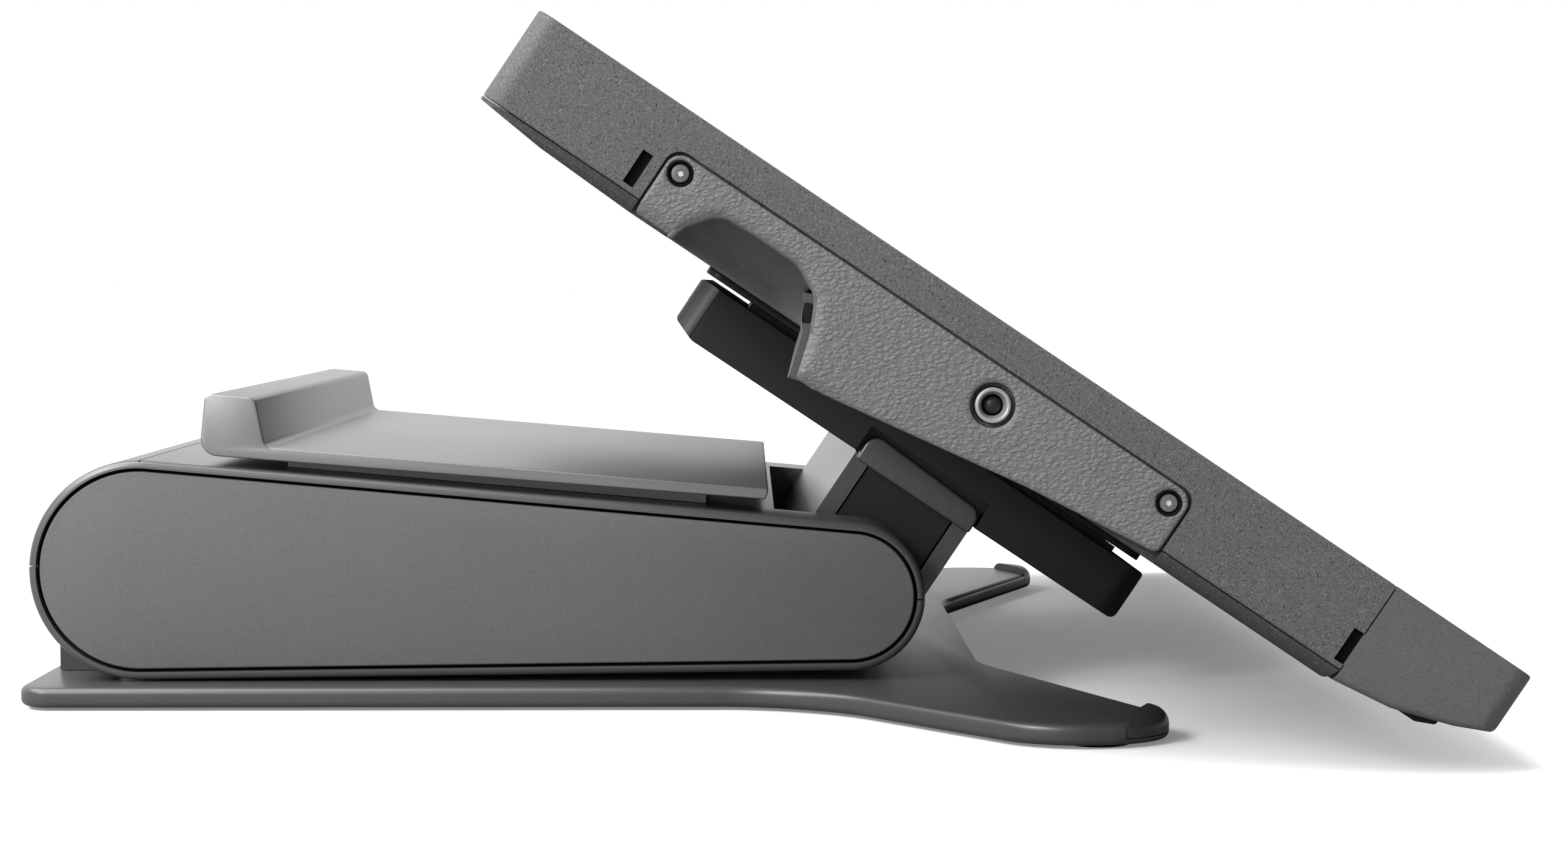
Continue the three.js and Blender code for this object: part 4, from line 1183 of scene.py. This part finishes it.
@dataclass
class Case(DisplayAssembly):
    """The display's case: the top shell, the rear cover, the front cap and its bumpers."""

    half: float = 384.5
    front: float = 399.1
    end: float = 465.5
    bottom: float = 39.3
    wall: float = 8.0
    corner: float = 10.0
    under: float = 45.4
    fillet: float = 6.5
    seam: float = 0.6
    slot_deep: float = 3.0

    SLOTS = {"rear": (63.4, 68.0), "front": (394.7, 400.0)}
    SCREWS = tuple((x, along) for x in (-300, -100, 100, 300) for along in (56, 380))
    BUMPER = ((430.6, 34), (430.6, 39, 1), (437, 39.8, 3), (445, 36.2, 1.5), (445, 31.5))

    def plan(self, name: str, front: float, rear: float, low: float, high: float, rim: float = 0.0,
             rounded: str = "rear") -> bpy.types.Object:
        """The case's plan, with its rear or its front corners rounded.

        Args:
            name: The object's name.
            front: The front edge along the display.
            rear: The rear edge.
            low: The lower end.
            high: The upper end.
            rim: The radius of its rims.
            rounded: Which corners are rounded, rear or front.

        Returns:
            The shape.
        """
        at_rear, at_front = (self.corner, 0.0) if rounded == "rear" else (0.0, self.corner)
        outline = rectangle((-self.half, self.half), (-front, -rear), at_front, at_rear)
        return prism(name, outline, Plane.PLAN, low, high, rim, 4, 12)

    def build(self) -> None:
        """Build the case."""
        self.top_case()
        self.rear_cover()
        self.front_cap()

    def top_case(self) -> None:
        """Build the top shell, with every opening in it."""
        case = self.plan("top_case_fine", self.front, 0, -self.bottom, 0, 1.0)
        inner = self.half - self.wall
        cut(case, self.slab("inside", (-inner, inner), (self.wall, self.front + 1), (3, self.bottom + 1)))
        cut(case, self.slab("seat", (-292.3, 292.3), (21.7, 385.3), (-1, 2.5)))
        cut(case, self.slab("window", (-262, 262), (38, 369), (-1, 4)))
        for side in Side:
            cut(case, *Grip.pocket(side, self.half))
            cut(case, rod("socket", 7.4, Plane.SIDE, *side.span(self.half - 20, self.half + 1),
                          (-PenSocket.along, -PenSocket.depth)))
            for stretch in self.SLOTS.values():
                cut(case, self.slab("slot", side.span(self.half - self.slot_deep, self.half + 1), stretch,
                                    (22.4, 36.9)))
            Controls.holes(case, side)
        self.add(soften(case, 0.2, 2, 40), "case plastic", "case_plastic", "top_case")
        # Painted shade: near-black sheets at the bottom of the side slots.
        for side in Side:
            for label, (start, stop) in self.SLOTS.items():
                floor = self.slab(f"slot_floor_{label}_{side.label}",
                                  side.span(self.half - self.slot_deep, self.half - 2.4),
                                  (start + 0.1, min(stop, 399.0) - 0.1), (22.5, 36.8), 0.1)
                self.add(floor, "dark hollow", "black_plastic")

    def rear_cover(self) -> None:
        """Build the cover under the case, with its vents and screws."""
        side = side_view([(0, 39.6), (self.front, 39.6), (self.front - 2.5, self.under, 2),
                          (72, self.under, 20), (30, 44, 12), (0, 41, 1)])
        cover = prism("rear_cover_fine", side, Plane.SIDE, -self.half, self.half, 0, 3, 8)
        cross(cover, self.plan("limit", self.front, 0, -60, 0))
        across = [(-self.half, 0), (-self.half, -self.under, self.fillet),
                  (self.half, -self.under, self.fillet), (self.half, 0)]
        cross(cover, prism("limit", across, Plane.FRONT, -self.front, 0, steps=12))
        cut(cover, self.slab("inside", (10 - self.half, self.half - 10), (10, self.front - 10), (0, 42.6)))
        for end in Side:
            cut(cover, *Grip.pocket(end, self.half))
            middles = [end.value * (180 + 7 * i) for i in range(18)]
            cut(cover, *[self.slab("vent", (x - 1.2, x + 1.2), (70, 104), (40, 60), 1.1) for x in middles])
        cut(cover, *[rod("recess", 4.2, Plane.PLAN, -47, -43.6, (x, -along)) for x, along in self.SCREWS])
        # The cover takes the case's plastic darkened, painted shade for the underside.
        self.add(soften(cover, 0.2, 2, 40), "cover plastic", "case_plastic", "rear_cover")
        for spot in self.SCREWS:
            Screw("cover_screw", spot, self).build()

    def front_cap(self) -> None:
        """Build the front cap and the two bumpers under it."""
        rear = self.front + self.seam
        lower = [(rear - 6, 10), (self.end, 10), (self.end, 25.4, 6), (449, 32.8, 14), (425, 40.6, 20),
                 (rear - 6, 44.8)]
        cap = prism("front_cap_fine", side_view(lower), Plane.SIDE, -self.half, self.half, 2.8, 5, 12)
        upper = [(rear, 0), (self.end, 0, 3), (self.end, 18), (rear, 18)]
        join(cap, prism("upper", side_view(upper), Plane.SIDE, -self.half, self.half, 0, 3, 10))
        cross(cap, self.plan("limit", self.end, rear, -60, 5, rounded="front"))
        hollow = side_view([(rear - 1, 3), (460, 3, 2), (460, 22, 4), (424, 34), (rear - 1, 38)])
        cut(cap, prism("hollow", hollow, Plane.SIDE, 6 - self.half, self.half - 6))
        room = 0.3
        for end in Side:
            low, high = end.span(352, 376)
            cut(cap, prism("seat", side_view(grown(self.BUMPER, room)), Plane.SIDE, low - room, high + room,
                           steps=5))
            bumper = prism(f"bumper_{end.label}_fine", side_view(self.BUMPER), Plane.SIDE, low, high,
                           0.6, 3, 6)
            self.add(shade(bumper), "black rubber", "rubber", f"bumper_{end.label}")
        self.add(soften(cap, 0.2, 2, 50), "cap plastic", "cap_plastic", "front_cap")


@dataclass
class Screw:
    """A small screw in the rear cover, in a round recess."""

    name: str
    at: tuple[float, float]
    owner: DisplayAssembly
    radius: float = 3.0
    depth: float = 44.7

    def build(self) -> None:
        """Build the screw's head with its cross recess."""
        x, along = self.at
        label = f"{self.name}_{round(x) + 400}_{round(along)}"
        head = rod(label, self.radius, Plane.PLAN, -self.depth, -self.depth + 1.2, (x, -along), 0.4)
        arms = [block("arm", (x - a, x + a), (-along - b, -along + b), (-self.depth - 1, -self.depth + 0.6))
                for a, b in ((1.6, 0.35), (0.35, 1.6))]
        cut(head, *arms)
        self.owner.add(shade(head), "machined steel", "machined_steel")


@dataclass
class Controls(DisplayAssembly):
    """The glass, the touch rings and the press keys beside it."""

    half_width: float = 292.0

    KEYS = tuple(158.0 + 19.0 * i for i in range(5))
    KEY_ENDS = (321.0, 355.0)
    KEY_HALF = 7.0
    MARKED_KEY = 3
    RING = (338.0, 98.0)
    TOGGLES = tuple(98.0 + 18.0 * i for i in (-1, 0, 1))
    TOGGLE_X = 302.5

    @staticmethod
    def key_outline(side: Side, along: float, grow: float) -> list[Corner]:
        """The outline of a key at a place along the display, grown a little all round."""
        low, high = Controls.KEY_ENDS
        half = Controls.KEY_HALF + grow
        return rectangle(side.span(low - grow, high + grow), (-along - half, -along + half), 2)

    @classmethod
    def holes(cls, case: bpy.types.Object, side: Side) -> None:
        """Cut the controls' openings in the case."""
        cutters = [prism("key", cls.key_outline(side, along, 0.3), Plane.PLAN, -5, 1, steps=4)
                   for along in cls.KEYS]
        cutters += [rod("toggle", 4.3, Plane.PLAN, -5, 1, (side.value * cls.TOGGLE_X, -along))
                    for along in cls.TOGGLES]
        ring = [(14.7, -1.5), (24.3, -1.5), (24.3, 1), (14.7, 1)]
        cutters.append(turned("ring", ring, Plane.PLAN, (side.value * cls.RING[0], -cls.RING[1])))
        cut(case, *cutters)

    def build(self) -> None:
        """Build the glass and the controls."""
        half = self.half_width
        glass = prism("front_glass_fine", rectangle((-half, half), (-385, -22), 3), Plane.PLAN, -2.2, 0,
                      0.35, 3, 6)
        self.add(shade(glass), "screen glass", "screen_glass", "front_glass")
        self.dress("panel metal", "panel_metal", "lcd_panel")
        self.dress("circuit board", "circuit_board", "main_board")
        for side in Side:
            self.ring(side)
            for index, along in enumerate(self.KEYS, 1):
                self.key(side, index, along)
            for index, along in enumerate(self.TOGGLES, 1):
                self.toggle(side, index, along)

    def ring(self, side: Side) -> None:
        """Build one touch ring, with its dished track."""
        profile = [(15, -1.2), (24, -1.2), (24, -0.3), (23.7, 0), (22.6, 0), (21, -0.35), (19.5, -0.45),
                   (18, -0.35), (16.4, 0), (15.3, 0), (15, -0.3)]
        centre = (side.value * self.RING[0], -self.RING[1])
        ring = turned(f"touch_ring_{side.label}_fine", profile, Plane.PLAN, centre, 96)
        self.add(shade(ring, 50), "key plastic", "key_plastic", f"touch_ring_{side.label}")

    def key(self, side: Side, index: int, along: float) -> None:
        """Build one press key with a shallow finger dish."""
        node = f"key_{index}_{side.label}"
        key = prism(f"{node}_fine", self.key_outline(side, along, 0), Plane.PLAN, -2.4, 0.6, 0.5, 3, 5)
        if index == self.MARKED_KEY:
            middle = side.value * sum(self.KEY_ENDS) / 2
            join(key, *[rod("dot", 0.7, Plane.PLAN, 0.3, 0.85, (middle + x, -along), 0.2, 20)
                        for x in (-2, 2)])
        self.add(shade(key), "key plastic", "key_plastic", node, body=node)

    def toggle(self, side: Side, index: int, along: float) -> None:
        """Build one round toggle key."""
        node = f"toggle_{index}_{side.label}"
        profile = [(0, -2.4), (4, -2.4), (4, 0.2), (3.6, 0.6), (2.6, 0.5), (0, 0.3)]
        toggle = turned(f"{node}_fine", profile, Plane.PLAN, (side.value * self.TOGGLE_X, -along), 40)
        self.add(shade(toggle), "key plastic", "key_plastic", node, body=node)


@dataclass
class SideAssembly(DisplayAssembly):
    """Pieces on one of the display's side faces."""

    side: Side = Side.RIGHT
    half: float = 384.5

    def spun(self, name: str, profile: Sequence[tuple[float, float]], spot: tuple[float, float], sides: int,
             proud: float = 0.0) -> bpy.types.Object:
        """A turned piece, square to the side face.

        Args:
            name: The object's name.
            profile: Its closed profile of (radius, height), from the face outwards.
            spot: Its axis's place along and in depth.
            sides: Steps round the axis.
            proud: How far the face that it sits in stands proud of the case.

        Returns:
            The new object.
        """
        face = self.half + proud
        return turned(name, [(r, self.side.value * (face + h)) for r, h in profile], Plane.SIDE,
                      (-spot[0], -spot[1]), sides)


@dataclass
class PenSocket(SideAssembly):
    """The metal-ringed socket for the pen in each grip."""

    along = 229.8
    depth = 29.1

    def build(self) -> None:
        """Build the ring and the ball inside it."""
        spot = (self.along, self.depth)
        profile = [(4.2, -13.4), (7, -13.4), (7, -1.0), (6.8, -0.5), (6.1, -0.3), (5.5, -0.5), (5.2, -1.2),
                   (4.2, -3.6)]
        ring = self.spun(f"pen_socket_{self.side.label}_fine", profile, spot, 72)
        self.add(shade(ring), "socket metal", "socket_metal", f"pen_socket_{self.side.label}")
        ball = [(0, -8.0), (1.6, -7.7), (2.9, -6.6), (3.6, -5.0), (3.2, -3.4), (2.1, -2.3), (0, -1.9)]
        heart = self.spun(f"socket_ball_{self.side.label}", ball, spot, 40)
        self.add(shade(heart, 60), "black plastic", "black_plastic")


@dataclass
class Grip(SideAssembly):
    """A leather-covered grip: its skin, the scoop for the fingers, its screws and the release lever."""

    proud: float = 0.3
    inner: float = 322.0
    depth_of_skin: float = 3.9
    scoop_inner: float = 336.0
    lining: float = 2.4
    flare: tuple[tuple[float, float], ...] = ((3.2, 0.5), (2.0, 1.1), (1.0, 2.0))
    cove: float = 14.0
    cove_steps: int = 8
    seam: float = 0.9

    SEAT = (72.5, 315.8, 14.3)
    CORNER = 6.5
    SCOOP = ((91.1, 47), (93.5, 38, 5), (102, 27.2, 9), (116.5, 26.2, 8), (137.6, 26.4, 12),
             (149.3, 32.8, 6), (155.8, 45.7, 12), (161.2, 66), (91.1, 66))
    LEVER = ((144.9, 33.8), (149, 31.6, 1), (159, 44.6), (166.4, 61.4), (158.3, 64.6), (153, 46.6))
    LEVER_ROOM = ((146.6, 31.2), (152, 28.6), (166, 41), (177, 60), (176, 67), (160.5, 67), (154.8, 47))
    LEVER_END = 380.3
    SCREWS = ((80.2, 22.2), (307.5, 22.6))

    @classmethod
    def scoop(cls, side: Side, grow: float, low: float, high: float) -> bpy.types.Object:
        """The finger hollow, and the lever's room, which stays behind the skin.

        Args:
            side: Its side.
            grow: How much larger than the hollow itself.
            low: Its end nearer the middle.
            high: Its outer end.

        Returns:
            The shape.
        """
        hollow = prism("scoop", grown(side_view(cls.SCOOP), grow), Plane.SIDE, *side.span(low, high),
                       steps=10)
        room = prism("room", grown(side_view(cls.LEVER_ROOM), grow), Plane.SIDE,
                     *side.span(low, cls.LEVER_END))
        return join(hollow, room)

    @classmethod
    def pocket(cls, side: Side, half: float) -> list[bpy.types.Object]:
        """The shapes that clear room for a grip in the case and its cover."""
        rear, front, top = cls.SEAT
        outline = side_view(rectangle((rear, front), (top, 60), cls.CORNER, 0))
        seat = prism("pocket", outline, Plane.SIDE, *side.span(half - 4.2, half + 2), steps=12)
        return [seat, cls.scoop(side, 2.7, 333.3, half)]

    def across(self, name: str) -> bpy.types.Object:
        """The grip's outline seen along the display, which rounds its outer lower edge."""
        s, outer = self.side.value, self.half + self.proud
        outline = [(self.inner, -46), (self.inner, -48.5, 2), (372, -65.5, 10), (outer, -62, 7),
                   (outer, -10), (self.inner, -10)]
        return prism(name, [(s * c[0], *c[1:]) for c in outline], Plane.FRONT, -316, -72, steps=10)

    def build(self) -> None:
        """Build the grip's pieces."""
        self.skin()
        self.scoop_lining()
        self.lever()
        for label, spot in zip(("rear", "front"), self.SCREWS):
            self.screw(label, spot)

    def skin(self) -> None:
        """Build the leather skin with rolled edges."""
        outer = self.half + self.proud
        rear, front, top = self.SEAT[0] + self.seam, self.SEAT[1] - self.seam, self.SEAT[2] + self.seam
        outline = side_view([
            (rear, top, self.CORNER), (front, top, self.CORNER), (front, 41.4, 3), (258, 48.2, 60),
            (187, 59.9, 60), (161.2, 64.3, 1.5), (155.8, 45.7), (91, 45.7), (rear, 45.4, 3)])
        skin = prism(f"grip_{self.side.label}_fine", outline, Plane.SIDE, *self.side.span(self.inner, outer),
                     steps=12)
        cross(skin, self.across("limit"))
        behind = self.side.span(self.inner - 1, self.half - self.depth_of_skin)
        cut(skin, self.slab("behind", behind, (0, 400), (0, 45.7)))
        cut(skin, self.scoop(self.side, 0, self.scoop_inner, outer + 1), self.roll())
        for grow, deep in self.flare:
            cut(skin, prism("flare", grown(side_view(self.SCOOP), grow), Plane.SIDE,
                            *self.side.span(outer - deep, outer + 1), steps=10))
        places = [((PenSocket.along, PenSocket.depth), 8.8)] + [(spot, 5.0) for spot in self.SCREWS]
        for (along, depth), radius in places:
            cut(skin, rod("dimple", radius, Plane.SIDE, *self.side.span(self.half - 6, outer + 1),
                          (-along, -depth)))
        skinned(skin, 0.85, 7)
        self.add(skin, "grip leather", "grip_leather", f"grip_{self.side.label}")

    def roll(self) -> bpy.types.Object:
        """What is taken off the skin's lower edge behind the scoop, to roll it under."""
        outer, radius = self.half + self.proud, 9.0
        corner = self.slab("roll", self.side.span(outer - radius, outer + 2), (60, 96), (46 - radius, 50))
        centre = (self.side.value * (outer - radius), radius - 46)
        return cut(corner, rod("round", radius, Plane.FRONT, -97, -59, centre, sides=64))

    def scoop_lining(self) -> None:
        """Build the lining of the finger hollow, coved where its inner wall meets the rest."""
        lining = self.scoop(self.side, self.lining, self.scoop_inner - self.lining, self.half - 1)
        cross(lining, self.slab("limit", self.side.span(300, self.half - 1), (60, 200), (20, 45.4)))
        cut(lining, prism("room", side_view(self.LEVER_ROOM), Plane.SIDE,
                          *self.side.span(self.scoop_inner, self.LEVER_END)))
        for step in range(self.cove_steps + 1):
            angle = math.pi / 2 * step / self.cove_steps
            inset, deep = self.cove * (1 - math.cos(angle)), self.cove * (1 - math.sin(angle))
            cut(lining, prism("cove", grown(side_view(self.SCOOP), -inset / CORNER_REACH), Plane.SIDE,
                              *self.side.span(self.scoop_inner + deep, self.half + 1), steps=8))
        lining.name = f"scoop_lining_{self.side.label}"
        skinned(lining, 0.9, 6)
        # The lining takes the darker leather, painted shade for the hollow.
        self.add(lining, "scoop leather", "grip_leather")

    def lever(self) -> None:
        """Build the release lever behind the scoop, with a window near its hinge."""
        node = f"release_lever_{self.side.label}"
        low, high = self.side.span(self.scoop_inner + 0.3, self.LEVER_END - 0.3)
        lever = prism(f"{node}_fine", side_view(self.LEVER), Plane.SIDE, low, high, steps=4)
        cross(lever, self.across("limit"))
        window = side_view([(147.6, 36.5, 0.8), (150.6, 35.2, 0.8), (154, 42.2, 0.8), (151, 43.6, 0.8)])
        cut(lever, prism("window", window, Plane.SIDE, *self.side.span(372, 382), steps=4))
        self.add(soften(lever, 0.5, 3), "knuckle plastic", "black_plastic", node, body=node)

    def screw(self, label: str, spot: tuple[float, float]) -> None:
        """Build a screw with a star recess, deep in a near-black ring of painted shade.

        Args:
            label: Which screw.
            spot: Its place along and in depth.
        """
        face = self.half + self.proud
        centre = (-spot[0], -spot[1])
        name = f"grip_screw_{label}_{self.side.label}"
        # Painted shade: a near-black ring stands for the shade in the recess round the head.
        shade_ring = [(3.5, -4.0), (4.85, -4.0), (4.85, -0.3), (4.6, 0.0), (4.3, -0.3), (4.1, -1.6), (3.5, -2.2)]
        ring = self.spun(f"{name}_sleeve", shade_ring, spot, 48, self.proud)
        self.add(shade(ring), "dark hollow", "black_plastic")
        dome = [(0, -3.2), (3.6, -3.2), (3.6, -1.3), (3.3, -0.9), (2.4, -0.7), (0, -0.6)]
        head = self.spun(name, dome, spot, 48, self.proud)
        cut(head, *self.star("star", centre, face - 1.9, face + 1, 1.15))
        self.add(shade(head), "dull screw metal", "machined_steel")
        floor, *points = self.star(f"{name}_star", centre, face - 2.2, face - 1.3, 1.0)
        self.add(shade(join(floor, *points)), "bright screw metal", "machined_steel")

    def star(self, name: str, centre: tuple[float, float], low: float, high: float,
             radius: float) -> list[bpy.types.Object]:
        """The shapes of a six-pointed recess.

        Args:
            name: The first shape's name.
            centre: Its centre.
            low: Its inner end across.
            high: Its outer end across.
            radius: The radius that its points stand on.

        Returns:
            A round middle and six points.
        """
        ends = self.side.span(low, high)
        shapes = [rod(name, radius * 0.95, Plane.SIDE, *ends, centre, sides=24)]
        for turn in range(6):
            angle = turn * math.pi / 3
            place = (centre[0] + radius * math.cos(angle), centre[1] + radius * math.sin(angle))
            shapes.append(rod("point", radius * 0.4, Plane.SIDE, *ends, place, sides=16))
        return shapes


# ---------------------------------------------------------------- the room
@dataclass(frozen=True)
class Lamp:
    """A soft lamp, aimed at the object."""

    name: str
    spot: tuple[float, float, float]
    size: tuple[float, float]
    watts: float
    aim: tuple[float, float, float] = (0.0, 0.05, 0.12)

    def build(self) -> None:
        """Place the lamp."""
        light = bpy.data.lights.new(self.name, "AREA")
        light.shape = "RECTANGLE"
        light.size, light.size_y = self.size
        light.energy = self.watts
        lamp = bpy.data.objects.new(self.name, light)
        lamp.location = self.spot
        lamp.rotation_euler = (Vector(self.aim) - Vector(self.spot)).to_track_quat("-Z", "Y").to_euler()
        lamp.visible_camera = False
        bpy.context.scene.collection.objects.link(lamp)


@dataclass(frozen=True)
class FloorFinish(Finish):
    """The floor's white, which throws back less light than it shows, as a lit sweep of paper does."""

    thrown: float = 0.26
    glow: float = 0.20

    def overlay(self, draw: NodeSketch, colour: bpy.types.NodeSocket) -> bpy.types.NodeSocket:
        """Darken the floor for every ray but the camera's."""
        seen = draw.add("ShaderNodeLightPath").outputs["Is Camera Ray"]
        return draw.mix(seen, (self.thrown, self.thrown, self.thrown, 1.0), colour)

    def glowing(self, material: bpy.types.Material) -> bpy.types.Material:
        """Lift the shadows that the camera sees on the floor.

        Args:
            material: The floor's material.

        Returns:
            The material.
        """
        draw = NodeSketch(material.node_tree)
        surface = next(node for node in material.node_tree.nodes if node.type == "BSDF_PRINCIPLED")
        seen = draw.add("ShaderNodeLightPath").outputs["Is Camera Ray"]
        lift = draw.math("MULTIPLY", seen, self.glow)
        material.node_tree.links.new(lift, surface.inputs["Emission Strength"])
        surface.inputs["Emission Color"].default_value = (1.0, 1.0, 1.0, 1.0)
        return material


@dataclass(frozen=True)
class Studio:
    """The pale floor, the surroundings, the lamps and the camera."""

    backdrop: float = 1.0
    dark_side: float = 0.34
    sun: float = 4.0
    sun_angle: float = 50.0
    sun_from: tuple[float, float, float] = (-0.18, 0.6, 1.0)
    lamps: tuple[Lamp, ...] = (
        Lamp("side lamp", (-2.3, 1.5, 1.1), (1.6, 1.6), 26.0, (-0.3, 0.1, 0.15)),
        Lamp("end lamp", (-1.3, 1.0, 1.0), (0.5, 0.5), 15.0, (-0.38, 0.32, 0.26)),
    )
    eye: tuple[float, float, float] = (-1.450, -0.012088, 0.1926)
    across: tuple[float, float, float] = (-0.012777, -0.999918, 0.000645)
    upward: tuple[float, float, float] = (0.050447, 0.0, 0.998727)
    lens: float = 63.6
    sensor: float = 36.0

    def build(self) -> None:
        """Build the room."""
        bm = bmesh.new()
        bmesh.ops.create_grid(bm, x_segments=1, y_segments=1, size=30.0)
        floor = linked("floor", bm)
        white = FloorFinish("pale floor", (0.93, 0.93, 0.93), 0.75, relief_scale=40, specular=0.2,
                            relief_depth=0.00002, mottle=0.02, mottle_scale=2.0, hollow=0.0)
        floor.data.materials.append(white.glowing(white.build()))
        self.surroundings()
        self.daylight()
        for lamp in self.lamps:
            lamp.build()
        self.camera()
        bpy.context.scene.view_settings.view_transform = "Standard"

    def surroundings(self) -> None:
        """Make the white backdrop, with a room behind it that is dark on the side of the lamps."""
        world = bpy.data.worlds.new("surroundings")
        world.use_nodes = True
        world.node_tree.nodes.clear()
        draw = NodeSketch(world.node_tree)
        facing = draw.add("ShaderNodeTexCoord").outputs["Generated"]
        across = draw.add("ShaderNodeSeparateXYZ", {}, {"Vector": facing}).outputs["X"]
        lit = draw.math("MULTIPLY_ADD", draw.ramp(across, -0.55, 0.35), self.backdrop - self.dark_side,
                        self.dark_side)
        seen = draw.add("ShaderNodeLightPath").outputs["Is Camera Ray"]
        strength = draw.math("MAXIMUM", draw.math("MULTIPLY", seen, self.backdrop), lit)
        back = draw.add("ShaderNodeBackground", {}, {"Color": (1.0, 1.0, 1.0, 1.0), "Strength": strength})
        draw.add("ShaderNodeOutputWorld", {}, {"Surface": back.outputs["Background"]})
        bpy.context.scene.world = world

    def daylight(self) -> None:
        """Place the broad light from above and behind."""
        light = bpy.data.lights.new("broad light", "SUN")
        light.energy = self.sun
        light.angle = math.radians(self.sun_angle)
        lamp = bpy.data.objects.new("broad light", light)
        lamp.rotation_euler = (-Vector(self.sun_from)).to_track_quat("-Z", "Y").to_euler()
        bpy.context.scene.collection.objects.link(lamp)

    def camera(self) -> None:
        """Place the camera at the left of the object, a little above the floor."""
        lens = bpy.data.cameras.new("camera")
        lens.lens = self.lens
        lens.sensor_width = self.sensor
        camera = bpy.data.objects.new("camera", lens)
        across, upward = Vector(self.across), Vector(self.upward)
        turn = Matrix((across, upward, across.cross(upward))).transposed()
        camera.matrix_world = Matrix.Translation(self.eye) @ turn.to_4x4()
        bpy.context.scene.collection.objects.link(camera)
        bpy.context.scene.camera = camera


def main() -> None:
    """Build the room and every sub-assembly."""
    logging.basicConfig(level=logging.INFO, format="%(name)s: %(message)s")
    palette = Palette()
    assemblies = [kind(palette) for kind in (Base, Arm, Linkage, Knuckle, Mount, Case, Controls)]
    for side in Side:
        assemblies += [Grip(palette, side), PenSocket(palette, side)]
    for assembly in assemblies:
        assembly.build()
        LOG.info("%s is done", type(assembly).__name__)
    Studio().build()


if __name__ == "__main__":
    main()
